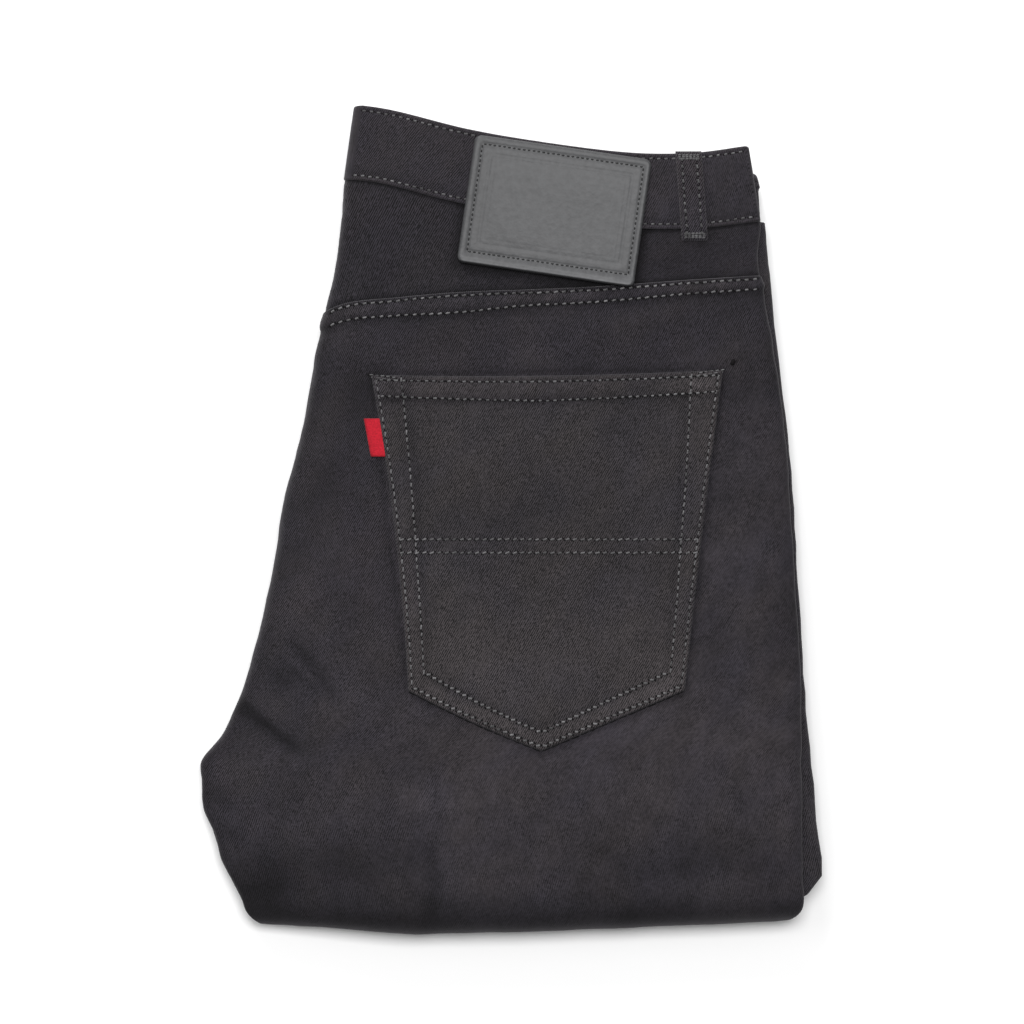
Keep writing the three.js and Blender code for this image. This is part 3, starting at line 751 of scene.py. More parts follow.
def wall(stations, detail, tone_and_shade):
    """Outer and inner grid of one wall of cloth, its cloth coordinates, and its tone with painted shade and
    light.
    """
    outside, inside, toned_and_shaded = [], [], []
    for station in stations:
        roll_left = lerp(LEG_SLAB / 2, LEG_SLAB, seat_share(station, edge_at(station, "top", "left")))
        x, down = cloth_row(station, "top", COLUMNS, 0.0, roll_left)
        x_in, down_in = cloth_row(station, "top", COLUMNS, CLOTH, roll_left)
        outer, inner = station["place"](x, down), station["place"](x_in, down_in)
        share = station.get("share_top", 0.0)
        if share > 0:
            out = outer - inner
            out /= np.linalg.norm(out, axis=1, keepdims=True)
            face = np.clip(1.3 - down / (2 * roll_left), 0, 1)
            outer += out * (detail(x, outer[:, 1]) * face * share**2)[:, None]
        toned_and_shaded.append(tone_and_shade(x, outer[:, 1]) * share)
        outside.append(outer)
        inside.append(inner)
    return np.array(outside), np.array(inside), grid_uv(np.array(outside)), np.array(toned_and_shaded)


def panel(stations, leg, face, facing, whole_seat=False, draw_in=0.0):
    """A hidden wall whose outer face lies at a depth in the roll. Facing 1 looks out of the roll."""
    grids = [[], []]
    for station in stations:
        seat = seat_share(station, edge_at(station, leg, "left"))
        roll_left = lerp(LEG_SLAB / 2, LEG_SLAB, seat) if whole_seat else LEG_SLAB / 2
        for grid, thick in zip(grids, (0.0, CLOTH - 0.1)):
            x, down = cloth_row(station, leg, HIDDEN_COLUMNS, thick, roll_left)
            x = x + draw_in * seat * np.linspace(1, 0, len(x)) ** 4
            grid.append(station["place"](x, face + facing * down))
    outside, inside = (np.array(grid)[:, ::facing] for grid in grids)
    return outside, inside, grid_uv(outside), np.zeros(outside.shape[:2])


class Nodes:
    """The nodes of a new material. An input is set to a value, or linked to another node's output."""

    def __init__(self, name, roughness, level, sheen):
        self.material = bpy.data.materials.new(name)
        self.material.use_nodes = True
        self.tree = self.material.node_tree
        self.surface = self.tree.nodes["Principled BSDF"]
        self.fill(self.surface, {"Roughness": roughness, "Specular IOR Level": level, "Sheen Weight": sheen})

    def fill(self, node, inputs):
        for name, value in inputs.items():
            if isinstance(value, bpy.types.NodeSocket):
                self.tree.links.new(value, node.inputs[name])
            else:
                node.inputs[name].default_value = value

    def add(self, kind, output, inputs, **settings):
        node = self.tree.nodes.new("ShaderNode" + kind)
        for name, value in settings.items():
            setattr(node, name, value)
        self.fill(node, inputs)
        return node.outputs[output]

    def math(self, operation, *values):
        return self.add("Math", "Value", dict(enumerate(values)), operation=operation)

    def times(self, a, b):
        return self.math("MULTIPLY", a, b)

    def plus(self, *values):
        total = values[0]
        for value in values[1:]:
            total = self.math("ADD", total, value)
        return total

    def noise(self, place, scale, detail, roughness):
        inputs = {"Vector": place, "Scale": scale, "Detail": detail, "Roughness": roughness}
        return self.add("TexNoise", "Fac", inputs)

    def spread(self, value, low, high):
        """Noise keeps near its middle, so that part of it is spread between two levels."""
        inputs = {"Value": value, "From Min": 0.3, "From Max": 0.7, "To Min": low, "To Max": high}
        return self.add("MapRange", "Result", inputs)

    def tone_and_shade(self):
        return self.add("Attribute", "Fac", {}, attribute_name="tone_and_shade")

    def mix(self, share, first, second):
        return self.add("Mix", 2, {0: share, 6: (*first, 1), 7: (*second, 1)}, data_type="RGBA")

    def bump(self, height, strength, distance):
        inputs = {"Height": height, "Strength": strength, "Distance": distance}
        self.fill(self.surface, {"Normal": self.add("Bump", "Normal", inputs)})


TWILL_PITCH = 0.95
TWILL_ANGLE = 61.0
# A wave texture of scale 1 repeats after this length
WAVE_LENGTH = 2 * math.pi / 20


def cloth_material(name, dark, light, fades=False):
    """Black twill: slanting ribs, uneven yarns and a little mottling, in the cloth's own millimetres.

    Where it fades, the ribs are clearer at the top left and softer at the foot and the side seam.
    """
    nodes = Nodes(name, 0.95, 0.18, 0.12)
    nodes.fill(nodes.surface, {"Sheen Roughness": 0.5, "Sheen Tint": (0.9, 0.87, 0.92, 1)})
    place = nodes.add("UVMap", "UV", {}, uv_map="cloth")

    def ribwise(along, across):
        """Cloth coordinates turned so that X runs along the ribs, then squeezed."""
        inputs = {"Vector": place, "Rotation": (0, 0, math.radians(TWILL_ANGLE)), "Scale": (along, across, 1)}
        return nodes.add("Mapping", "Vector", inputs, vector_type="TEXTURE")

    def noise(along, across, detail, low, high):
        return nodes.spread(nodes.noise(ribwise(along, across), 1.0, detail, 0.6), low, high)

    wave = {"Scale": 1.0, "Distortion": 0.9, "Detail": 1.0, "Detail Scale": 1.2}
    wave["Vector"] = ribwise(3.2, TWILL_PITCH / WAVE_LENGTH)
    ribs = nodes.add("TexWave", "Fac", wave, bands_direction="Y")
    clear = noise(15, 11, 1.0, 0.45, 1.15)
    if fades:
        across, down = (nodes.add("SeparateXYZ", axis, {"Vector": place}) for axis in "XY")
        sharp = nodes.plus(1.4, nodes.times(across, -0.005), nodes.times(down, 0.0042))
        clear = nodes.times(clear, nodes.math("MINIMUM", nodes.math("MAXIMUM", sharp, 0.36), 1.6))
    rib = nodes.times(nodes.times(nodes.math("SUBTRACT", ribs, 0.5), 1.25), clear)
    streak = nodes.times(noise(1.9, 0.5, 0.5, -0.5, 0.5), clear)
    grain = nodes.times(noise(0.7, 0.6, 1.0, -0.48, 0.48), clear)
    mottle = noise(9, 7, 3.0, -0.13, 0.13)
    cloud = noise(60, 52, 2.0, -0.1, 0.1)
    spots = noise(2.0, 1.7, 1.0, -0.13, 0.13)
    yarn = nodes.mix(nodes.plus(0.5, rib, streak, grain, mottle, cloud, spots), dark, light)
    tone_and_shade = nodes.tone_and_shade()
    # The yarn's colour is scaled by the tone and painted shade of each place
    toned_and_shaded = {0: yarn, "Scale": nodes.plus(tone_and_shade, 1.0)}
    # Where the colour is lifted it is a little warmer, and where painted shade darkens it, a little colder
    warmth = nodes.plus(0.5, nodes.times(tone_and_shade, 0.9), noise(38, 30, 2.0, -0.5, 0.5))
    tint = nodes.mix(warmth, (0.98, 0.975, 1.075), (1.035, 1.0, 0.985))
    tinted = {0: nodes.add("VectorMath", "Vector", toned_and_shaded, operation="SCALE"), 1: tint}
    color = nodes.add("VectorMath", "Vector", tinted, operation="MULTIPLY")
    nodes.fill(nodes.surface, {"Base Color": color})
    nodes.bump(nodes.plus(rib, streak, nodes.times(grain, 0.6)), 0.4, 0.00022)
    return nodes.material


def plain_material(name, color, roughness, sheen, level, patches=0.0, size=0.0, bump_by=0.0):
    """One colour. With patches it varies by that share, in spots of a size, and is scaled by the attribute of
    tone and painted shade.
    """
    nodes = Nodes(name, roughness, level, sheen)
    nodes.fill(nodes.surface, {"Base Color": (*color, 1)})
    if patches:
        spots = nodes.noise(nodes.add("TexCoord", "Object", {}), size, 3, 0.5)
        bright = nodes.spread(spots, 1 - patches, 1 + patches)
        bright = nodes.math("MULTIPLY_ADD", nodes.tone_and_shade(), bright, bright)
        spotted = nodes.add("VectorMath", "Vector", {0: color, "Scale": bright}, operation="SCALE")
        nodes.fill(nodes.surface, {"Base Color": spotted})
        nodes.bump(spots, 0.5, bump_by)
    return nodes.material


# Twills: name, darkest and lightest yarn. Others: name, colour, roughness, sheen and specular level,
# and then the share by which the colour varies, how small its spots are, and their depth in metres
denim = cloth_material("black_twill", (0.0035, 0.0032, 0.0036), (0.0365, 0.0326, 0.0372), fades=True)
pocket_denim = cloth_material("black_twill_pocket", (0.0035, 0.0032, 0.0034), (0.0375, 0.034, 0.0362))
denim_inside = cloth_material("black_twill_inside", (0.005, 0.0046, 0.0052), (0.036, 0.033, 0.0365))
thread = plain_material("thread_grey", (0.078, 0.0765, 0.079), 0.7, 0.2, 0.2, 0.4, 1400.0, 0.0001)
thread_light = plain_material("thread_light", (0.088, 0.086, 0.0885), 0.7, 0.2, 0.2, 0.45, 1400.0, 0.0001)
thread_dark = plain_material("thread_dark", (0.007, 0.007, 0.0075), 0.6, 0.05, 0.3)
# Near black, for the painted shade in the needle holes, the painted shade line under the pocket's foot and a
# knot
hole = plain_material("needle_holes_and_shade_line", (0.006, 0.0055, 0.006), 0.9, 0.0, 0.1)
leather = plain_material("patch_board", (0.0412, 0.0416, 0.0438), 0.5, 0.0, 0.4, 0.16, 420.0, 0.0003)
ribbon = plain_material("tab_weave", (0.34, 0.008, 0.018), 0.8, 0.1, 0.12, 0.24, 1500.0, 0.00015)

# Seat, thigh and knee of the right back leg
STEP = 1.5
COLUMNS = 140
HIDDEN_COLUMNS = 50
leg_cloth = shell("leg_back_right", *wall(leg_stations(STEP), seat_detail, seat_wear_and_shade), denim)
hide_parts("back_leg_right")

# Hidden walls of both legs, from the waistband along the roll to the hems
turn = [back_fold_station(degrees) for degrees in (64, 78)]
hems = [hem_station(float(y)) for y in np.linspace(BACK_FOLD_Y, HEM_Y, 18)]
waist = [between(lambda x: waist_y(x) - WAIST_GAP, seam_y, part) for part in np.linspace(0, 0.96, 6)]
# The rows of the lap, one for each millimetre, are left out
whole = waist + leg_stations(9.0)[LAP_REACH:] + turn + hems
hidden = {
    "leg_front_right": panel(whole, "top", LEG_SLAB - 0.1, -1, draw_in=1.9),
    "leg_front_left": panel(whole, "under", LEG_SLAB + 0.1, 1, draw_in=1.9),
    "leg_back_left": panel(whole, "under", TWO_LEGS - 0.05, -1, whole_seat=True),
    "leg_end_right": panel(turn + hems, "top", 0.0, 1),
}
for name, parts in hidden.items():
    piece = shell(name, *parts, denim_inside)
    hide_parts("folded_layers")


def patch_frame(x, y):
    """How far a plan point is to the right of and above the patch's centre, along its sides."""
    return turned(x - PATCH["x"], y - PATCH["y"], -PATCH["tilt"])


# Yoke, between the waistband and the seat. Its lower edge dips under the lap.
def yoke_low(x):
    return seam_y(x) - 1.6


def yoke_high(x):
    return waist_y(x) - 0.2


def yoke_detail(x, y):
    low, high = y - seam_y(x), waist_y(x) - y
    dip = -1.0 * (1 - blend(-1.6, 2.2, low)) - 0.9 * (1 - blend(0, 2.6, high))
    pull = fine_noise(x, low, 3.4) * 0.6 + fold_noise(x, 0.3 * low, 5)
    pucker = 0.2 * pull * (bell(low, 7) + 0.7 * bell(high, 6)) * blend(-1, 2, low) * blend(0, 2, high)
    weave = 0.06 * fold_noise(x, y, 7) + 0.05 * fine_noise(x, y, 2.3)
    return dip + pucker + side_seam(from_edge(x, y, "right")) + weave


def yoke_tone_and_shade(x, y):
    u, v = patch_frame(x, y)
    below = np.minimum(v + HALF_HEIGHT, 0)
    beside = np.maximum(np.abs(u) - HALF_WIDTH, 0)
    # Painted shade under the lap at the yoke seam and under the waistband, and the patch's painted shadow
    # below and beside its foot
    shade = stripes(
        (-0.3, y - seam_y(x), 0, 2.6),
        (-0.35, waist_y(x) - y, 0, 2.4),
        (-0.42, np.hypot(below, beside), 0, 3.4),
    )
    uneven = 0.06 * broad_noise(x, y, 26) + 0.05 * fold_noise(x, y, 8, 1.6, 60)
    # The whole yoke is darker: partly its own tone, partly painted shade
    return np.maximum(shade + uneven - 0.34, -0.85)


yoke_rows = [between(yoke_high, yoke_low, part) for part in np.linspace(0, 1, 34)]
yoke = shell("back_yoke_right", *wall(yoke_rows, yoke_detail, yoke_tone_and_shade), denim)
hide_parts("yoke_right")


# Waistband: one closed loop of doubled cloth, pressed into four layers
def band_plan(part, up):
    """x and y of a place on the band, by its part of the width and share of the height."""
    place = []
    for axis in ("x", "y"):
        bottom, top = (follow(WAISTBAND, "part", f"{end}_{axis}", part) for end in ("bottom", "top"))
        place.append(lerp(bottom, top, up))
    return place


def band_point(part, beyond, up, depth):
    x, y = band_plan(part, up)
    x = x + beyond
    return np.stack([x, y, top_height(x, y) + 0.3 * relief(x, y) + BAND_RISE - depth], -1)


def band_path(fine):
    """Points round the four layers: part of the width, how far beyond it, depth, and the outward way."""
    half, pitch = BAND_PLY / 2, BAND_PLY + REST_GAP
    layers = [half + k * pitch for k in range(4)]
    path = []

    def straight(depth, start, end, steps):
        for k in range(steps + 1):
            path.append((lerp(start, end, k / steps), 0, depth, 0, 1 if start < end else -1))

    def fold(part, first, last, side, inward, steps):
        radius, middle = abs(last - first) / 2, (first + last) / 2
        down = math.copysign(1, last - first)
        for k in range(1, steps):
            angle = math.pi * k / steps
            across, over = side * math.sin(angle), down * math.cos(angle)
            beyond, depth = radius * across, middle - radius * over
            path.append((part, beyond, depth, across * inward, over * inward))

    left_outer = (layers[3] - layers[0]) / 2 + half
    start, inner_start = left_outer / BAND_WIDTH, (left_outer + FLY_SETBACK) / BAND_WIDTH
    end = 1 - (pitch / 2 + half) / BAND_WIDTH
    # Each layer runs from one place to another, and then folds over into the next one
    runs = (
        (start, end, fine, 1, 8),
        (end, inner_start, 24, -1, 6),
        (inner_start, end, 24, 1, 8),
        (end, start, 24, 1, 12),
    )
    for k, (first, last, steps, inward, fold_steps) in enumerate(runs):
        straight(layers[k], first, last, steps)
        fold(last, layers[k], layers[(k + 1) % 4], 1 if first < last else -1, inward, fold_steps)
    return np.array(path)


BAND_HEIGHT = 36.5
BAND_ROWS_AT = (2.1, 34.0)


def band_face(part, up, first_ply):
    """How much thicker the band is at a place, on its outer side."""
    height = up * BAND_HEIGHT
    along = part * BAND_WIDTH
    groove = stripes(*((-0.3, height, row, 0.9) for row in BAND_ROWS_AT))
    lip = stripes((0.16, height, 0.7, 0.8), (0.16, height, 35.6, 0.8))
    pull = fine_noise(along, height, 3.2) * 0.5 + fold_noise(along, 0.3 * height, 4.8)
    pucker = pull * stripes(*((0.17, height, row, 5.5) for row in BAND_ROWS_AT))
    soft = 0.12 * broad_noise(along, height, 21) + 0.06 * fold_noise(along, height, 7)
    return (groove + lip + pucker + soft) * first_ply + 0.05 * fine_noise(along, height, 6)


# Shares of the band's height, from its foot up, close together near its edges
foot_ups = [0, 0.008, 0.02, 0.035, 0.05, 0.065, 0.085, 0.11]
top_ups = [0.88, 0.905, 0.92, 0.935, 0.95, 0.965, 0.98, 0.992, 1]
ups = np.r_[foot_ups, np.linspace(0.15, 0.85, 12), top_ups][::-1]
part, beyond, depth, way_x, way_z = band_path(150).T
first_ply = (depth < BAND_PLY * 0.55).astype(float)
outside, inside, toned_and_shaded = [], [], []
for up in ups:
    in_from_edge = np.clip(min(up, 1 - up) * BAND_HEIGHT, 0, 1)
    half = BAND_PLY / 2 * math.sqrt(1 - (1 - in_from_edge) ** 2 * 0.72)
    face = half + band_face(part, up, first_ply)
    back = half * 0.9
    outside.append(band_point(part, beyond + face * way_x, up, depth - face * way_z))
    inside.append(band_point(part, beyond - back * way_x, up, depth + back * way_z))
    height = up * BAND_HEIGHT
    rub = stripes((0.2, height, 0.6, 0.9), (0.2, height, 35.9, 0.9), (-0.18, height, 4.2, 1.6))
    toned_and_shaded.append(rub - 0.12 + 0.05 * broad_noise(part * BAND_WIDTH, height + 0 * part, 20))
band_x = np.where(first_ply > 0, part * BAND_WIDTH, np.linspace(0, 2.1, len(part)) * BAND_WIDTH * 2)
band_uv = np.stack(np.meshgrid(band_x, ups * BAND_HEIGHT), -1)
band = shell("waistband_loop", np.array(outside), np.array(inside), band_uv, np.array(toned_and_shaded), denim, loop=True)
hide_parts("waistband")


def face_height(x, y):
    """Height of the outer face of the seat, with its lap and relief."""
    return stack_height(x, y) + seat_detail(x, y)


# Right back pocket
def pocket_place(across, down):
    """Plan point of a place on the pocket, given as shares of its width and length."""
    tl, tr, fr, tip, fl = (POCKET[name] for name in POCKET_CORNERS)
    share = (tip[0] - fl[0]) / (fr[0] - fl[0])
    left, right = np.clip(across / share, 0, 1), np.clip((across - share) / (1 - share), 0, 1)
    foot = [np.where(across < share, lerp(fl[k], tip[k], left), lerp(tip[k], fr[k], right)) for k in (0, 1)]
    x, y = (lerp(lerp(tl[k], tr[k], across), foot[k], down) for k in (0, 1))
    hollow = arch(down) * (POCKET["hollow_left"] * (1 - across) - POCKET["hollow_right"] * across)
    sag = POCKET["top_sag"] * arch(across) * (1 - down)
    return x + hollow, y - sag - POCKET["foot_bow"] * arch(left) * down**3


POCKET_LENGTH = 154
POCKET_WIDTH = 170
# How much longer the pocket is at its tip
TIP_DROP = 29
# How far the rows of stitches are from the sides and the foot, and from the pocket's top
ROW_NEAR, ROW_FAR = 1.9, 8.3
TOP_ROW, HEM_ROW = 2.4, 10.2
# y of the two plain rows across the middle
DECOR_ROWS = (-10.5, -17.0)
# How far the inner side row is from the pocket's edge, from the top to the foot
INNER_ROW = table(
    "down left right",
    (0, 14.2, 15.2),
    (0.25, 11.6, 12.1),
    (0.4, 10.3, 10.6),
    (0.55, 9.2, 9.7),
    (0.7, 8.5, 8.6),
    (0.85, 8.1, 8),
    (1, 7.9, 7.8),
)


def inner_row(across, down):
    left, right = (follow(INNER_ROW, "down", side, down) for side in ("left", "right"))
    return np.where(across < 0.5, left, right)


def pocket_edges(across, down):
    """Distances to the sides, the foot and the top of the pocket, and inward from the inner rows."""
    width = pocket_place(np.ones_like(across), down)[0] - pocket_place(np.zeros_like(across), down)[0]
    side = np.minimum(across, 1 - across) * width
    column = lerp(POCKET_LENGTH, POCKET_LENGTH + TIP_DROP, 1 - np.abs(across - FOOT_MIDDLE) / 0.52)
    foot = (1 - down) * column * 0.92
    return side, foot, down * column, np.minimum(side - inner_row(across, down), foot - ROW_FAR)


def pocket_lift(x, y, side, foot, top, within):
    """How far the pocket's face stands above the seat."""
    near = np.minimum(side, foot)
    lift = POCKET_CLOTH + 0.55 * (1 - blend(-0.1, 1.9, within)) + HEM_RAISE * (1 - blend(10.6, 12.2, top))
    lift = lift + stripes(
        (-0.34, near, ROW_NEAR, 0.8),
        (-0.3, within, 0, 1.0),
        (-0.3, top, HEM_ROW, 0.9),
        (-0.26, top, TOP_ROW, 0.9),
        (0.25, top, 6.3, 2.8),
    )
    lift = lift + stripes(*((-0.22, y, row, 0.8) for row in DECOR_ROWS)) * blend(1, 3, side)
    pull = 0.5 * fine_noise(x, y, 3.1) + fold_noise(x, y, 4.7)
    lift = lift + pull * stripes((0.17, near, 5, 5), (0.17, top, 11, 5))
    lift = lift + 0.05 * fine_noise(x, y, 2.3) + 0.1 * fold_noise(x, y, 8)
    crown = 0.8 * blend(10, 45, side) * blend(8, 40, foot) * blend(14, 40, top)
    return (lift + crown) * rounded(np.minimum(near, top), 0.8, 0.09)


def pocket_wear_and_shade(x, y, down, side, foot, top, within):
    """Lighter on the doubled edges and the hem, with a painted highlight just inside the edge and painted
    shade at the very rim, where the edge stands off the seat; darker beside the rows, lighter towards the
    foot, and soft lighter and darker places.
    """
    near = np.minimum(side, foot)
    lift = 0.11 + 0.19 * blend(30, 130, down * POCKET_LENGTH) + soft_ovals(x, y, POCKET_SPOTS_AND_PAINTED_SHADE)
    lift = lift + stripes(
        # Painted highlight just inside the edges, and lighter doubled strips
        (0.22, near, 1.0, 0.8),
        (0.12, near, 5, 2.4),
        (-0.22, within, 2.5, 2.2),
        (0.16, top, 0.8, 0.9),
        (0.14, top, 6.3, 3),
        (-0.25, top, 12.6, 2.0),
        # Painted shade at the very rim and the foot's edge, and a painted highlight just inside the foot
        (-0.6, np.minimum(near, top), 0, 0.42),
        (0.22, foot, 1.2, 0.6),
        (-0.8, foot, 0, 0.45),
    )
    lift = lift + 0.22 * bell(foot - 5, 3.2) * blend(6, 12, side)
    lift = lift + 0.07 * broad_noise(x, y, 24) + 0.06 * fold_noise(x, y, 8, 1.6, 60)
    doubled = bell(foot - 5, 3.2) + bell(top - 6.3, 3)
    return np.maximum(lift + 0.12 * fine_noise(x + 0.4 * y, 0.3 * y, 3.4) * doubled, -0.88)


def eased(count):
    """Shares from 0 to 1, closer together near both ends."""
    t = np.linspace(0, 1, count)
    return t - 0.26 / math.pi * np.sin(2 * math.pi * t)


rows, columns = ((118, 120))
acrosses = eased(columns)
acrosses = np.sort(np.r_[acrosses[np.abs(acrosses - FOOT_MIDDLE) > 0.004], FOOT_MIDDLE])
across, down = np.meshgrid(acrosses, eased(rows))
x, y = pocket_place(across, down)
under = face_height(x, y) + 0.1
edges = pocket_edges(across, down)
thick = pocket_lift(x, y, *edges)
pocket_outside = np.stack([x, y, under + thick], -1)
inside = np.stack([x, y, under + np.maximum(thick - CLOTH, 0) * 0.6], -1)
toned_and_shaded = pocket_wear_and_shade(x, y, down, *edges)
pocket = shell("back_pocket_right", pocket_outside, inside, np.stack([x, y + 400], -1), toned_and_shaded, pocket_denim)
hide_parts("pocket_back_right")


# Patch: a stiff blank board over the waistband and the top of the yoke
def patch_place(u, v):
    """Plan point of a place on the patch: u to the right and v up, from its centre."""
    x, y = turned(u, v, PATCH["tilt"])
    return PATCH["x"] + x, PATCH["y"] + y


def patch_base(x, y):
    over_lap = 0.7 * blend(4, 0, y - seam_y(x))
    return top_height(x, y) + 0.3 * relief(x, y) + BAND_RISE + REST_GAP + over_lap


def patch_round(u, v, radius=3.5):
    """Turns the grid's square corners into quarter rounds."""
    flat_u, flat_v = HALF_WIDTH - radius, HALF_HEIGHT - radius
    past_u, past_v = np.abs(u) - flat_u, np.abs(v) - flat_v
    both = (past_u > 0) & (past_v > 0)
    scale = np.maximum(np.maximum(past_u, past_v), 1e-6) / np.maximum(np.hypot(past_u, past_v), 1e-6)
    return (
        np.sign(u) * np.where(both, flat_u + past_u * scale, np.abs(u)),
        np.sign(v) * np.where(both, flat_v + past_v * scale, np.abs(v)),
    )


def patch_lift(u, v):
    """The board's thickness, with its pressed border, grooves of stitches and raised lower lip."""
    edge = np.minimum(HALF_WIDTH - np.abs(u), HALF_HEIGHT - np.abs(v))
    across = np.minimum(u + HALF_WIDTH - PATCH_ROW["left"], HALF_WIDTH - PATCH_ROW["right"] - u)
    above_foot = v + HALF_HEIGHT
    row = np.minimum(across, np.minimum(HALF_HEIGHT - PATCH_ROW["top"] - v, above_foot - PATCH_ROW["bottom"]))
    lift = PATCH_THICK + 0.8 * blend(6.5, 1.2, above_foot) + stripes(
        (-0.4, row, 0, 0.6),
        (0.2, row, -2.4, 1.4),
        (-0.24, row, 4.7, 0.55),
        (-0.14, row, 6.9, 0.4),
        (-0.1, above_foot, 6, 2),
    )
    lift = lift + 0.14 * broad_noise(u, v, 16) + 0.06 * fine_noise(u, v, 4)
    return lift * rounded(edge, 0.9, 0.05)


columns, high_rows, low_rows = ((124, 72, 22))
shares = np.r_[np.linspace(0.5, -0.42, high_rows), np.linspace(-0.5, -0.425, low_rows)[::-1]]
u, v = np.meshgrid(np.linspace(-0.5, 0.5, columns) * PATCH["width"], shares * PATCH["height"])
thick = patch_lift(u, v)
u, v = patch_round(u, v)
x, y = patch_place(u, v)
base = patch_base(x, y)
outside, inside = np.stack([x, y, base + thick], -1), np.stack([x, y, base], -1)
above_foot = v + HALF_HEIGHT
# Lighter towards the right and the foot
toned_and_shaded = 0.14 * u / PATCH["width"] - 0.06 * v / PATCH["height"] + 0.05 * broad_noise(u, v, 14)
# Painted highlight on the raised lower lip, and painted shade on its edge face
toned_and_shaded = toned_and_shaded + stripes((0.26, above_foot, 2.2, 2.4), (0.42, above_foot, 1.3, 0.5))
toned_and_shaded = toned_and_shaded - 0.6 * blend(1.1, 0.7, above_foot)
patch = shell("waistband_patch", outside, inside, np.stack([u, v], -1), toned_and_shaded, leather, "patch_leather")
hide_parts("patch")

# Tab: a folded ribbon caught in the pocket's side seam
RIB_PITCH = 1.1
across, down = np.meshgrid(np.linspace(0, 1, 14), np.linspace(0, 1, 26))
x = lerp(TAB["left"], TAB["right"] + 1.2, across) + TAB["lean"] * down
y = lerp(TAB["top"], TAB["bottom"], down)
base = face_height(x, y) + 0.3 + 0.5 * (1 - across) ** 2
tab_top = base + TAB_THICK + 0.06 * np.sin(y * 2 * math.pi / RIB_PITCH)
# Painted shade along the tab's left side, top and foot
toned_and_shaded = 0.05 + stripes((-0.35, across, 0, 0.07), (-0.3, down, 1, 0.04), (-0.25, down, 0, 0.04))
toned_and_shaded = toned_and_shaded + 0.1 * fine_noise(x, y, 2)
outside, inside = np.stack([x, y, tab_top], -1), np.stack([x, y, base], -1)
tab = shell("side_tab", outside, inside, np.stack([x, y], -1), toned_and_shaded, ribbon, "tab_ribbon")
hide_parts("tab")

# Belt loop: a strip over the waistband, lying on the yoke below it
LOOP_TOP, LOOP_FOOT = 1.02, -0.17
up, across = np.meshgrid(np.linspace(LOOP_TOP, LOOP_FOOT, 50), np.linspace(-0.5, 0.5, 22), indexing="ij")
point = band_point(np.full_like(up, BELT_LOOP_PART), across * LOOP_WIDTH, up, 0)
rise = 0.5 * np.sin(np.clip(up, 0, 1) * math.pi)
base = point[..., 2] - BAND_RISE * (1 - blend(-0.16, -0.02, up)) + REST_GAP * 0.5 + rise
side = (0.5 - np.abs(across)) * LOOP_WIDTH
edge = np.minimum(side, np.minimum(LOOP_TOP - up, up - LOOP_FOOT) * BAND_HEIGHT)
thick = LOOP_THICK + 0.12 * fine_noise(across * 12, up * 36, 3.5) - 0.25 * bell(side - 2.6, 0.7)
thick = thick * rounded(edge, 0.8, 0.1)
x, y = point[..., 0], point[..., 1]
loop_top, inside = np.stack([x, y, base + thick], -1), np.stack([x, y, base], -1)
belt_loop = shell("belt_loop_side", loop_top, inside, point[..., :2] + 100, 0.15 * bell(edge, 0.9), denim)
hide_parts("belt_loop_right")

# A thread is a flattened tube of six sides in six steps, and its closed ends sink into the cloth
FLATNESS, SINK = 0.75, 0.22
SIDES = STEPS = 6
TUBE_FACES = [
    (ring + side, ring + beside, ring + SIDES + beside, ring + SIDES + side)
    for ring in range(0, STEPS * SIDES, SIDES)
    for side, beside in zip(range(SIDES), (*range(1, SIDES), 0))
]
TUBE_FACES += [range(SIDES - 1, -1, -1), range(STEPS * SIDES, (STEPS + 1) * SIDES)]


